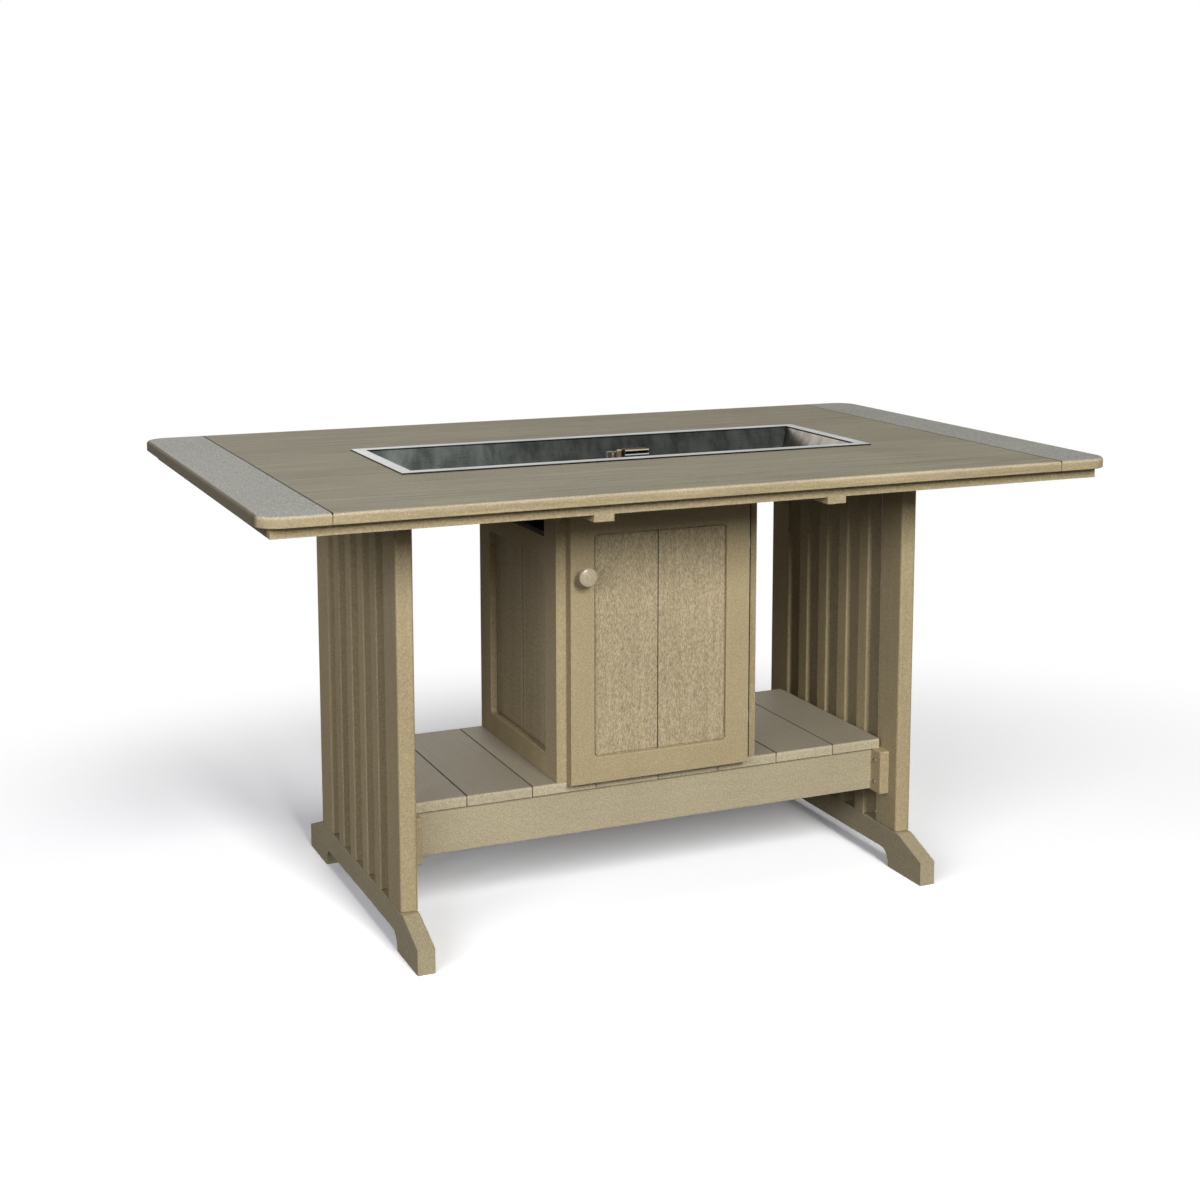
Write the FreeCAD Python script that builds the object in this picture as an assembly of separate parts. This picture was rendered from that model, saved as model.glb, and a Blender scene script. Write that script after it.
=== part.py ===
import FreeCAD, Part
import math
import os
from FreeCAD import Vector

# A counter-height patio table of plastic lumber with a gas fire pit let into its top.
# All sizes are in millimetres. X runs along the table, the door faces -Y, Z is up from the ground.

# Overall sizes
top_length = 1829.0
top_width = 1118.0
table_height = 952.0
board_thick = 22.0

# Table top
end_board_width = 133.0
end_corner_radius = 50.0
seam_gap = 0.5
end_seam_gap = 1.2
seam_ease = 0.8
edge_round = 6.0
under_edge_round = 2.0
boards_beside_pit = 3
apron_height = 22.0
apron_thick = 22.0
apron_inset = 26.0
top_cleat_width = 42.0
top_cleat_height = 36.0

# Fire pan
pan_open_length = 1029.0
pan_open_width = 320.0
pan_depth = 100.0
pan_wall_lean = 40.0
pan_sheet = 1.5
pan_flange_width = 26.0
pan_rim_height = 3.5
pan_cutout_clearance = 2.0

# Trestles
trestle_inner_x = 556.0
post_thick = 36.0
post_width = 89.0
post_outer_y = 299.0
post_round = 6.0
spindle_width = 40.0
spindle_round = 3.0
post_foot_round = 4.0
spindle_foot_round = 2.5
spindles_per_trestle = 4
foot_half_length = 404.0
foot_height = 89.0
foot_end_height = 53.0
foot_flat_past_post = 10.0
foot_pad_length = 136.0
foot_arch_height = 38.0
foot_arch_radius = 30.0
foot_ease = 2.0
top_plate_width = 78.0

# Stretchers and shelf
shelf_top_z = 290.0
shelf_half_depth = 232.0
shelf_end_clearance = 5.0
shelf_board_count = 8
shelf_board_pitch = 143.0
shelf_seam_gap = 2.0
stretcher_height = 95.0
stretcher_setback = 8.0
stretcher_cleat_width = 89.0
stretcher_cleat_proud = 40.0
stretcher_cleat_drop = 4.0
stretcher_cleat_round = 3.0

# Cabinet
cabinet_half_width = 232.0
side_thick = 22.0
side_stile_width = 64.0
side_bottom_rail = 48.0
side_top_rail = 44.0
side_panel_thick = 6.0
side_panel_recess = 15.0
vent_height = 50.0
front_stile_width = 38.0
front_bottom_rail = 38.0
panel_groove_depth = 8.0
panel_tongue = 7.0
panel_play = 0.3
panel_reveal_width = 2.6
panel_reveal_depth = 3.0
panel_field_corner = 6.0
panel_field_ease = 1.8
frame_ease = 1.5

# Door
door_thick = 22.0
door_gap = 1.5
door_edge_play = 1.0
door_hinge_room = 7.0
door_drop = 4.0
door_top_clearance = 24.0
door_stile_width = 54.0
door_rail_width = 56.0
door_panel_thick = 9.0
door_panel_recess = 6.0
door_seam_offset = -6.0
door_frame_ease = 2.5
knob_radius = 23.6
knob_reach = 37.0
knob_rim_reach = 31.0
knob_neck_reach = 15.0
knob_neck_radius = 7.0
knob_foot_radius = 9.0
knob_foot_reach = 2.0
knob_edge_round = 4.5
knob_below_door_top = 137.0

# Hinges and catch
hinge_height = 64.0
hinge_leaf_thick = 1.2
hinge_leaf_reach = 18.0
hinge_frame_leaf_reach = 30.0
hinge_barrel_radius = 3.5
hinge_pin_radius = 1.5
hinge_running_play = 0.05
hinge_fixed_play = 0.02
hinge_knuckle_gap = 0.3
hinge_from_door_end = 70.0
catch_width = 14.0
catch_height = 40.0
strike_thick = 1.0
catch_air_gap = 0.3

# Burner, igniter and gas controls
burner_radius = 12.7
burner_wall = 1.2
burner_half_length = 380.0
burner_axis_below_top = 52.0
burner_inlet_x = -30.0
burner_inlet_radius = 10.0
burner_inlet_drop = 26.0
burner_inlet_wall = 2.5
pan_hole_play = 0.5
saddle_x = 250.0
saddle_width = 18.0
saddle_half_depth = 17.0
locknut_height = 8.0
locknut_width = 28.0
bracket_sheet = 1.5
bracket_over_burner = 2.5
bracket_past_sensor = 21.0
bracket_leg_half_width = 18.0
igniter_offset_y = 19.0
thermocouple_x = -12.0
thermocouple_radius = 2.6
thermocouple_above_plate = 27.0
thermocouple_tip_round = 2.3
sensor_lead_radius = 1.6
sensor_lead_rise = 8.0
collector_x = 4.0
collector_radius = 6.5
collector_height = 33.0
collector_window_low = 11.0
collector_window_high = 20.0
collector_window_half = 3.0
electrode_x = 45.0
electrode_radius = 3.2
electrode_tip_radius = 1.1
ceramic_above_plate = 6.0
electrode_above_plate = 18.5
guard_from_collector = 0.5
guard_length = 57.0
guard_height = 34.0
guard_depth = 27.0
guard_sheet = 1.4
guard_lip = 2.8
guard_bar_low = 20.0
guard_bar_height = 4.5
sensor_window_bar = 3.0
control_panel_half_length = 120.0
control_panel_sheet = 2.0
controls_below_pan = 68.0
panel_below_controls = 40.0
panel_hole_play = 0.5
control_knob_radius = 22.0
control_knob_reach = 24.0
control_knob_skirt = 8.5
control_grip_half_width = 5.0
control_grip_half_length = 20.0
valve_stem_radius = 4.0
valve_stem_in_knob = 14.5
valve_body_width = 34.0
valve_sensor_boss = 8.0
valve_body_depth = 46.0
inlet_fitting_length = 30.0
inlet_fitting_radius = 6.0
inlet_fitting_bore = 2.9
inlet_collar_radius = 8.0
inlet_collar_length = 12.0
gas_tube_radius = 4.75
lead_radius = 2.0
line_bend_radius = 28.0
button_radius = 10.0
button_travel = 4.0
button_bore_depth = 28.0
button_proud = 7.0
button_running_play = 0.08
igniter_case_radius = 15.0
igniter_bezel_radius = 17.0
igniter_bezel_thick = 3.0
igniter_case_length = 46.0

# Screws
screw_radius = 2.5
screw_head_radius = 5.0
screw_head_height = 2.6
screw_head_round = 1.8
screw_length = 40.0
screw_play = 0.1
screw_spread = 49.0
screw_from_cleat_front = 24.0
frame_screw_radius = 1.5
frame_screw_head_radius = 2.6
frame_screw_head_height = 0.8
frame_screw_length = 16.0

# Heights and faces that several pieces share
top_under_z = table_height - board_thick
apron_under_z = top_under_z - apron_height
half_length = top_length / 2
half_width = top_width / 2
field_half_length = half_length - end_board_width
cut_half_length = pan_open_length / 2 + pan_sheet + pan_cutout_clearance
cut_half_width = pan_open_width / 2 + pan_sheet + pan_cutout_clearance
apron_half_length = half_length - apron_inset
apron_half_width = half_width - apron_inset
trestle_outer_x = trestle_inner_x + post_thick
post_inner_y = post_outer_y - post_width
shelf_under_z = shelf_top_z - board_thick
side_inner_x = cabinet_half_width - side_thick
pan_floor_z = table_height - pan_depth
pan_under_z = pan_floor_z - pan_sheet
control_height_z = pan_under_z - controls_below_pan
side_rail_top_z = pan_under_z - vent_height
cabinet_front_y = -shelf_half_depth
front_frame_back_y = cabinet_front_y + side_thick
door_back_y = cabinet_front_y - door_gap
door_front_y = door_back_y - door_thick
door_latch_x = -(side_inner_x - door_edge_play)
door_hinge_x = side_inner_x - door_hinge_room
door_bottom_z = shelf_top_z - door_drop
top_cleat_under_z = top_under_z - top_cleat_height
door_top_z = top_cleat_under_z - door_top_clearance
burner_axis_z = table_height - burner_axis_below_top
burner_inlet_end_z = pan_under_z - burner_inlet_drop

UP = Vector(0, 0, 1)
ORIGIN = Vector(0, 0, 0)
nodes = {}


def box(x, y, z):
    """A block between two values along each axis."""
    corner = Vector(min(x), min(y), min(z))
    return Part.makeBox(abs(x[1] - x[0]), abs(y[1] - y[0]), abs(z[1] - z[0]), corner)


def rod(radius, start, end):
    """A round bar from one point to another."""
    run = end - start
    return Part.makeCylinder(radius, run.Length, start, run)


def mirror_x(shape):
    """The same piece on the other side of the table's middle."""
    return shape.mirror(ORIGIN, Vector(1, 0, 0))


def mirror_y(shape):
    """The same piece on the other side, from front to back."""
    return shape.mirror(ORIGIN, Vector(0, 1, 0))


def runs_along(edge, direction):
    """Whether a straight edge is parallel to a direction."""
    ends = edge.Vertexes
    if len(ends) < 2:
        return False
    run = ends[1].Point - ends[0].Point
    return run.Length > 0 and abs(abs(run.dot(direction)) - run.Length) < 1e-6


def lies_at(edge, axis, value):
    """Whether all of an edge lies in the plane where one coordinate has a value."""
    box_of_edge = edge.BoundBox
    low = (box_of_edge.XMin, box_of_edge.YMin, box_of_edge.ZMin)[axis]
    high = (box_of_edge.XMax, box_of_edge.YMax, box_of_edge.ZMax)[axis]
    return abs(low - value) < 1e-4 and abs(high - value) < 1e-4


def spans(edge, axis, value):
    """Whether an edge reaches a coordinate on either side of the middle."""
    box_of_edge = edge.BoundBox
    low = (box_of_edge.XMin, box_of_edge.YMin, box_of_edge.ZMin)[axis]
    high = (box_of_edge.XMax, box_of_edge.YMax, box_of_edge.ZMax)[axis]
    return max(-low, high) > value - 1e-4


def round_edges(shape, radius, chosen):
    """Rounds the edges that a test chooses."""
    return shape.makeFillet(radius, [edge for edge in shape.Edges if chosen(edge)])


def upright(x, y, corner_round, foot_round):
    """A post or spindle from the foot to the top, with rounded corners and an eased lower end."""
    piece = box(x, y, (foot_height, apron_under_z))
    piece = round_edges(piece, corner_round, lambda edge: runs_along(edge, UP))
    return round_edges(piece, foot_round, lambda edge: lies_at(edge, 2, foot_height))


def top_board(x, y, outer_y=None):
    """One board of the table top, with eased seams and a rounder outer edge if it has one."""
    board = box(x, y, (top_under_z, table_height))
    if outer_y is not None:
        for radius, z in ((edge_round, table_height), (under_edge_round, top_under_z)):
            board = round_edges(board, radius, lambda edge: runs_along(edge, Vector(1, 0, 0))
                                and lies_at(edge, 1, outer_y) and lies_at(edge, 2, z))
    return round_edges(board, seam_ease, lambda edge: lies_at(edge, 2, table_height)
                       and runs_along(edge, Vector(1, 0, 0)))


def end_board():
    """The board across the right end of the top, with rounded outer corners."""
    inner_x = field_half_length + end_seam_gap
    board = box((inner_x, half_length), (-half_width, half_width), (top_under_z, table_height))
    board = round_edges(board, end_corner_radius, lambda edge: runs_along(edge, UP)
                        and lies_at(edge, 0, half_length))
    for radius, z in ((edge_round, table_height), (under_edge_round, top_under_z)):
        board = round_edges(board, radius, lambda edge: edge.BoundBox.XMax > inner_x + 1
                            and lies_at(edge, 2, z))
    return board


def make_top():
    """End boards, long boards in front of and behind the pit, short boards beside it."""
    nodes["end_board_right"] = [end_board()]
    nodes["end_board_left"] = [mirror_x(end_board())]
    pitch = (half_width - cut_half_width) / boards_beside_pit
    long_x = (-field_half_length, field_half_length)
    front = []
    for i in range(boards_beside_pit):
        outer = -half_width + i * pitch
        inner = outer + pitch - seam_gap
        front.append(top_board(long_x, (outer, inner), outer if i == 0 else None))
    nodes["field_boards_front"] = front
    nodes["field_boards_back"] = [mirror_y(board) for board in front]
    short_pitch = (2 * cut_half_width + seam_gap) / boards_beside_pit
    right = []
    for i in range(boards_beside_pit):
        low = -cut_half_width + i * short_pitch
        right.append(top_board((cut_half_length, field_half_length), (low, low + short_pitch - seam_gap)))
    nodes["field_boards_short"] = right + [mirror_x(board) for board in right]


def make_apron():
    """Strips that thicken the top's edge, and the cleats that hold the cabinet's sides."""
    z = (apron_under_z, top_under_z)
    inner_y = apron_half_width - apron_thick
    front = box((-apron_half_length, apron_half_length), (-apron_half_width, -inner_y), z)
    end = box((apron_half_length - apron_thick, apron_half_length), (-inner_y, inner_y), z)
    nodes["apron_front"] = [front]
    nodes["apron_back"] = [mirror_y(front)]
    nodes["apron_ends"] = [end, mirror_x(end)]
    cleat_x = (cabinet_half_width, cabinet_half_width + top_cleat_width)
    cleat = box(cleat_x, (-inner_y, -cut_half_width), (top_cleat_under_z, top_under_z))
    toe = box(cleat_x, (-apron_half_width, -inner_y), (top_cleat_under_z, apron_under_z))
    cleat = cleat.fuse(toe).removeSplitter()
    front_pair = [cleat, mirror_x(cleat)]
    nodes["top_cleats"] = front_pair + [mirror_y(piece) for piece in front_pair]


def foot_beam():
    """A foot with chamfered ends, standing on two pads with a long arch between them."""
    pad_end = foot_half_length - foot_pad_length
    flat_half = post_outer_y + foot_flat_past_post
    radius = foot_arch_radius
    spring = foot_arch_height - radius
    diagonal = radius * (1 - math.sqrt(0.5))

    def at(y, z):
        return Vector(trestle_inner_x, y, z)

    def line(a, b):
        return Part.LineSegment(at(*a), at(*b)).toShape()

    def arch_corner(side):
        middle = at(side * (pad_end - diagonal), foot_arch_height - diagonal)
        return Part.Arc(at(side * pad_end, spring), middle,
                        at(side * (pad_end - radius), foot_arch_height)).toShape()

    left = [line((-foot_half_length, 0), (-pad_end, 0)), line((-pad_end, 0), (-pad_end, spring)),
            arch_corner(-1)]
    middle = [line((-pad_end + radius, foot_arch_height), (pad_end - radius, foot_arch_height))]
    right = [arch_corner(1), line((pad_end, spring), (pad_end, 0)), line((pad_end, 0), (foot_half_length, 0))]
    over = [line((foot_half_length, 0), (foot_half_length, foot_end_height)),
            line((foot_half_length, foot_end_height), (flat_half, foot_height)),
            line((flat_half, foot_height), (-flat_half, foot_height)),
            line((-flat_half, foot_height), (-foot_half_length, foot_end_height)),
            line((-foot_half_length, foot_end_height), (-foot_half_length, 0))]
    outline = Part.Wire(Part.__sortEdges__(left + middle + right + over))
    beam = Part.Face(outline).extrude(Vector(post_thick, 0, 0))
    return round_edges(beam, foot_ease, lambda edge: edge.BoundBox.ZMin > foot_end_height - 1
                       and not runs_along(edge, Vector(1, 0, 0)))


def cleat_screws():
    """The screws that fix the front right stretcher cleat to its post, two to a cleat."""
    cleat_y, cleat_z = stretcher_cleat_span()
    y = cleat_y[0] + screw_from_cleat_front
    face_x = trestle_inner_x - board_thick
    middle = (cleat_z[0] + cleat_z[1]) / 2
    screws = []
    for z in (middle - screw_spread / 2, middle + screw_spread / 2):
        seat = Vector(face_x, y, z)
        shank = rod(screw_radius, seat, seat + Vector(screw_length, 0, 0))
        head = rod(screw_head_radius, seat - Vector(screw_head_height, 0, 0), seat)
        head = round_edges(head, screw_head_round, lambda edge: lies_at(edge, 0, face_x - screw_head_height))
        screws.append(head.fuse(shank).removeSplitter())
    return screws


def screw_holes():
    """Clearance holes for the screws of the front right stretcher cleat."""
    holes = []
    for screw in cleat_screws():
        middle = screw.BoundBox.Center
        start = Vector(trestle_inner_x - board_thick, middle.y, middle.z)
        holes.append(rod(screw_radius + screw_play, start, start + Vector(screw_length + screw_play, 0, 0)))
    return Part.makeCompound(holes)


def stretcher_cleat_span():
    """Where a front stretcher cleat lies from front to back and from bottom to top."""
    stretcher_front = cabinet_front_y + stretcher_setback
    front = stretcher_front - stretcher_cleat_proud
    low = shelf_under_z - stretcher_height - stretcher_cleat_drop
    return (front, front + stretcher_cleat_width), (low, shelf_under_z)


def make_trestles():
    """Two end frames: foot, two wide posts, square spindles and a flat plate under the top."""
    trestle_x = (trestle_inner_x, trestle_outer_x)
    post = upright(trestle_x, (-post_outer_y, -post_inner_y), post_round, post_foot_round)
    post = post.cut(screw_holes())
    gap = (2 * post_inner_y - spindles_per_trestle * spindle_width) / (spindles_per_trestle + 1)
    spindles = []
    for i in range(spindles_per_trestle):
        low = -post_inner_y + gap + i * (spindle_width + gap)
        spindles.append(upright(trestle_x, (low, low + spindle_width), spindle_round, spindle_foot_round))
    middle_x = (trestle_inner_x + trestle_outer_x) / 2
    plate_x = (middle_x - top_plate_width / 2, middle_x + top_plate_width / 2)
    plate = box(plate_x, (-foot_half_length, foot_half_length), (apron_under_z, top_under_z))
    nodes["trestle_top_plates"] = [plate, mirror_x(plate)]
    right = {"foot": [foot_beam()], "posts": [post, mirror_y(post)], "spindles": spindles}
    for name, pieces in right.items():
        nodes["right_" + name] = pieces
        nodes["left_" + name] = [mirror_x(piece) for piece in pieces]


def make_stretchers():
    """Rails under the shelf's front and back edges, on cleats screwed to the posts."""
    front_y = cabinet_front_y + stretcher_setback
    end_x = trestle_inner_x - board_thick
    front = box((-end_x, end_x), (front_y, front_y + board_thick),
                (shelf_under_z - stretcher_height, shelf_under_z))
    front = round_edges(front, frame_ease, lambda edge: runs_along(edge, Vector(1, 0, 0))
                        and lies_at(edge, 1, front_y))
    nodes["front_stretcher"] = [front]
    nodes["back_stretcher"] = [mirror_y(front)]
    cleat_y, cleat_z = stretcher_cleat_span()
    cleat = box((end_x, trestle_inner_x), cleat_y, cleat_z)
    cleat = round_edges(cleat, stretcher_cleat_round, lambda edge: not lies_at(edge, 0, trestle_inner_x))
    cleat = cleat.cut(screw_holes())
    corners = [cleat, mirror_x(cleat)]
    nodes["stretcher_cleats"] = corners + [mirror_y(piece) for piece in corners]
    screws = cleat_screws() + [mirror_x(screw) for screw in cleat_screws()]
    nodes["cleat_screws"] = screws + [mirror_y(screw) for screw in screws]


def make_shelf():
    """Shelf boards laid from front to back across the stretchers, the end ones narrower."""
    half = trestle_inner_x - shelf_end_clearance
    inner_boards = shelf_board_count - 2
    first_seam = -shelf_board_pitch * inner_boards / 2
    seams = [-half] + [first_seam + i * shelf_board_pitch for i in range(inner_boards + 1)] + [half]
    boards = []
    for i in range(shelf_board_count):
        x = (seams[i] + shelf_seam_gap / 2, seams[i + 1] - shelf_seam_gap / 2)
        board = box(x, (-shelf_half_depth, shelf_half_depth), (shelf_under_z, shelf_top_z))
        boards.append(round_edges(board, frame_ease, lambda edge: lies_at(edge, 2, shelf_top_z)))
    nodes["shelf_boards"] = boards


def framed_panel(width, height, thick, stile, rails, panel_thick, recess, ease, seam_x=0):
    """Two stiles, two rails and a two-board panel held in their grooves.

    It stands on z = 0, is centred on x = 0 and faces -Y from y = 0.
    rails gives the bottom and top rail as pairs of heights, and the panel's boards meet at seam_x."""
    half = width / 2
    inner = half - stile
    (bottom_low, bottom_high), (top_low, top_high) = rails
    groove_y = (recess - panel_play, recess + panel_thick + panel_play)
    groove_x = (-inner - panel_groove_depth, inner + panel_groove_depth)
    groove_z = (bottom_high - panel_groove_depth, top_low + panel_groove_depth)
    groove = box(groove_x, groove_y, groove_z)
    corner = panel_field_corner + panel_reveal_width
    opening = box((-inner, inner), (0, thick), (bottom_high, top_low))
    opening = round_edges(opening, corner, lambda edge: runs_along(edge, Vector(0, 1, 0)))
    whole = box((-half, half), (0, thick), (0, height)).cut(opening)
    whole = round_edges(whole, ease, lambda edge: lies_at(edge, 1, 0)
                        and (not spans(edge, 0, half) or lies_at(edge, 2, 0)))

    def member(x, z):
        return whole.common(box(x, (0, thick), z)).cut(groove)

    def stile_beside(x):
        corners = member(x, (bottom_high, top_low))
        side_x = (x[0], -inner) if x[0] < 0 else (inner, x[1])
        return member(side_x, (0, height)).fuse(corners).removeSplitter()

    frame = [stile_beside((-half, corner - inner)), stile_beside((inner - corner, half)),
             member((-inner, inner), (bottom_low, bottom_high)), member((-inner, inner), (top_low, top_high))]
    panel_z = (bottom_high - panel_tongue, top_low + panel_tongue)
    panel_y = (recess, recess + panel_thick)
    reveal_y = (recess, recess + panel_reveal_depth)
    field_half = inner - panel_reveal_width
    field_z = (bottom_high + panel_reveal_width, top_low - panel_reveal_width)
    field = box((-field_half, field_half), reveal_y, field_z)
    field = round_edges(field, panel_field_corner, lambda edge: runs_along(edge, Vector(0, 1, 0)))
    reveal = box((-inner, inner), reveal_y, (bottom_high, top_low)).cut(field)

    def on_field(edge):
        ends = edge.BoundBox
        return lies_at(edge, 1, recess) and max(-ends.XMin, ends.XMax) < inner and (
            bottom_high < ends.ZMin and ends.ZMax < top_low)

    def panel_board(outer_x, seam_edge_x):
        board = box((outer_x, seam_edge_x), panel_y, panel_z).cut(reveal)
        return round_edges(board, panel_field_ease, on_field)

    outer = inner + panel_tongue
    return frame, [panel_board(-outer, seam_x - seam_gap / 2), panel_board(outer, seam_x + seam_gap / 2)]


def turned(pieces, angle, place):
    """Pieces turned about the upright axis and then moved to a place."""
    placement = FreeCAD.Placement(place, FreeCAD.Rotation(UP, angle))
    out = []
    for piece in pieces:
        copy = piece.copy()
        copy.Placement = placement.multiply(copy.Placement)
        out.append(copy)
    return out


def side_rail_heights():
    """Heights of a cabinet side's bottom and top rails above the shelf."""
    top = side_rail_top_z - shelf_top_z
    return (0, side_bottom_rail), (top - side_top_rail, top)


def make_cabinet():
    """Three frame-and-panel walls and a front frame, open above the top rails for air and the pan."""
    height = top_under_z - shelf_top_z
    wall = (height, side_thick, side_stile_width, side_rail_heights(), side_panel_thick, side_panel_recess,
            frame_ease)
    side_frame, side_panel = framed_panel(2 * shelf_half_depth, *wall)
    back_frame, back_panel = framed_panel(2 * side_inner_x, *wall)
    left_at = Vector(-cabinet_half_width, 0, shelf_top_z)
    right_at = Vector(cabinet_half_width, 0, shelf_top_z)
    back_at = Vector(0, shelf_half_depth, shelf_top_z)
    left_frame = turned(side_frame, -90, left_at)
    screws = frame_screws()
    for screw in screws:
        left_frame = [piece.cut(frame_screw_hole(screw)) for piece in left_frame]
    nodes["left_side_frame"] = left_frame
    nodes["right_side_frame"] = [mirror_x(piece) for piece in left_frame]
    nodes["left_side_panel"] = turned(side_panel, -90, left_at)
    nodes["right_side_panel"] = turned(side_panel, 90, right_at)
    nodes["cabinet_back_frame"] = turned(back_frame, 180, back_at)
    nodes["cabinet_back_panel"] = turned(back_panel, 180, back_at)
    nodes["frame_screws"] = screws + [mirror_x(screw) for screw in screws]
    front_y = (cabinet_front_y, front_frame_back_y)
    opening_x = side_inner_x - front_stile_width
    stile = box((opening_x, side_inner_x), front_y, (shelf_top_z, top_under_z))
    rail_x = (-opening_x, opening_x)
    low_rail = box(rail_x, front_y, (shelf_top_z, shelf_top_z + front_bottom_rail))
    high_rail = box(rail_x, front_y, (door_top_z - front_stile_width, top_under_z))
    nodes["front_frame"] = [stile, mirror_x(stile), low_rail, high_rail]


def frame_screws():
    """One small screw in the front-facing edge of the left side's back stile."""
    edge_y = shelf_half_depth - side_stile_width
    x = -cabinet_half_width + side_panel_recess / 2
    z = (shelf_top_z + side_rail_top_z) / 2
    seat = Vector(x, edge_y, z)
    shank = rod(frame_screw_radius, seat, seat + Vector(0, frame_screw_length, 0))
    head = rod(frame_screw_head_radius, seat - Vector(0, frame_screw_head_height, 0), seat)
    return [head.fuse(shank).removeSplitter()]


def frame_screw_hole(screw):
    """The clearance hole for one frame screw."""
    middle = screw.BoundBox.Center
    start = Vector(middle.x, shelf_half_depth - side_stile_width, middle.z)
    return rod(frame_screw_radius + screw_play, start, start + Vector(0, frame_screw_length + screw_play, 0))


def door_knob():
    """A turned knob with a slim neck and a domed head, on the door's free stile."""
    dome_rise = knob_reach - knob_rim_reach
    dome_radius = (knob_radius ** 2 + dome_rise ** 2) / (2 * dome_rise)
    half_way = math.asin(knob_radius / dome_radius) / 2

    def at(radius, reach):
        return Vector(radius, -reach, 0)

    def line(a, b):
        return Part.LineSegment(a, b).toShape()

    foot = at(knob_foot_radius, knob_foot_reach)
    neck = at(knob_neck_radius, knob_neck_reach)
    rim = at(knob_radius, knob_rim_reach)
    crown = at(0, knob_reach)
    dome_middle = at(dome_radius * math.sin(half_way),
                     knob_reach - dome_radius * (1 - math.cos(half_way)))
    edges = [line(at(0, 0), at(knob_foot_radius, 0)), line(at(knob_foot_radius, 0), foot), line(foot, neck),
             line(neck, rim), Part.Arc(rim, dome_middle, crown).toShape(), line(crown, at(0, 0))]
    knob = Part.Face(Part.Wire(edges)).revolve(ORIGIN, Vector(0, 1, 0), 360)
    knob = round_edges(knob, knob_edge_round, lambda edge: lies_at(edge, 1, -knob_rim_reach))
    x = door_latch_x + door_stile_width / 2
    knob.translate(Vector(x, door_front_y, door_top_z - knob_below_door_top))
    return knob


def hinge(z):
    """A butt hinge whose barrel hides behind the door's edge: fixed leaf, door leaf and pin."""
    axis_x, axis_y = hinge_axis()
    third = hinge_height / 3

    def barrel(low, high):
        return rod(hinge_barrel_radius, Vector(axis_x, axis_y, low), Vector(axis_x, axis_y, high))

    def pin(play):
        foot = Vector(axis_x, axis_y, z)
        return rod(hinge_pin_radius + play, foot, foot + UP * hinge_height)

    fixed_plate = box((axis_x - hinge_frame_leaf_reach, axis_x),
                      (cabinet_front_y - hinge_leaf_thick, cabinet_front_y), (z, z + hinge_height))
    clear = rod(hinge_barrel_radius + hinge_knuckle_gap, Vector(axis_x, axis_y, z + third),
                Vector(axis_x, axis_y, z + 2 * third))
    fixed = fixed_plate.fuse([barrel(z, z + third), barrel(z + 2 * third, z + hinge_height)])
    fixed = fixed.cut(clear).cut(pin(hinge_fixed_play)).removeSplitter()
    knuckle = barrel(z + third + hinge_knuckle_gap, z + 2 * third - hinge_knuckle_gap)
    door_plate = box((door_hinge_x, door_hinge_x + hinge_leaf_thick),
                     (axis_y - hinge_leaf_reach, axis_y),
                     (z + third + hinge_knuckle_gap, z + 2 * third - hinge_knuckle_gap))
    moving = door_plate.fuse(knuckle).cut(pin(hinge_running_play)).removeSplitter()
    return fixed, moving, pin(0)


def hinge_axis():
    """Where the door's hinge line stands."""
    return door_hinge_x + hinge_barrel_radius, cabinet_front_y - hinge_barrel_radius - hinge_knuckle_gap


def make_door():
    """The framed door with its knob, hinges and magnetic catch."""
    height = door_top_z - door_bottom_z
    rails = (0, door_rail_width), (height - door_rail_width, height)
    frame, panel = framed_panel(door_hinge_x - door_latch_x, height, door_thick, door_stile_width, rails,
                                door_panel_thick, door_panel_recess, door_frame_ease, door_seam_offset)
    at_door = Vector((door_latch_x + door_hinge_x) / 2, door_front_y, door_bottom_z)
    names = ["door_latch_stile", "door_hinge_stile", "door_bottom_rail", "door_top_rail"]
    for name, piece in zip(names, turned(frame, 0, at_door)):
        nodes[name] = [piece]
    nodes["door_panel"] = turned(panel, 0, at_door)
    nodes["door_knob"] = [door_knob()]
    low = door_bottom_z + hinge_from_door_end
    high = door_top_z - hinge_from_door_end - hinge_height
    fixed, moving, pins = zip(hinge(low), hinge(high))
    nodes["hinge_frame_leaves"] = list(fixed)
    nodes["hinge_door_leaves"] = list(moving)
    nodes["hinge_pins"] = list(pins)
    frame_edge_x = -(side_inner_x - front_stile_width)
    catch_x = (frame_edge_x, frame_edge_x + catch_width)
    middle_z = (door_bottom_z + door_top_z) / 2
    catch_z = (middle_z - catch_height / 2, middle_z + catch_height / 2)
    strike_back_y = door_back_y + strike_thick
    nodes["magnet_catch"] = [box(catch_x, (strike_back_y + catch_air_gap, front_frame_back_y), catch_z)]
    nodes["strike_plate"] = [box(catch_x, (door_back_y, strike_back_y), catch_z)]


def tray(half_x, half_y, top_z, bottom_z, lean):
    """A solid with a rectangular top and a smaller rectangular bottom."""
    def outline(x, y, z):
        corners = [Vector(-x, -y, z), Vector(x, -y, z), Vector(x, y, z), Vector(-x, y, z), Vector(-x, -y, z)]
        return Part.makePolygon(corners)

    upper = outline(half_x, half_y, top_z)
    lower = outline(half_x - lean, half_y - lean, bottom_z)
    return Part.makeLoft([lower, upper], True, True)


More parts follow.
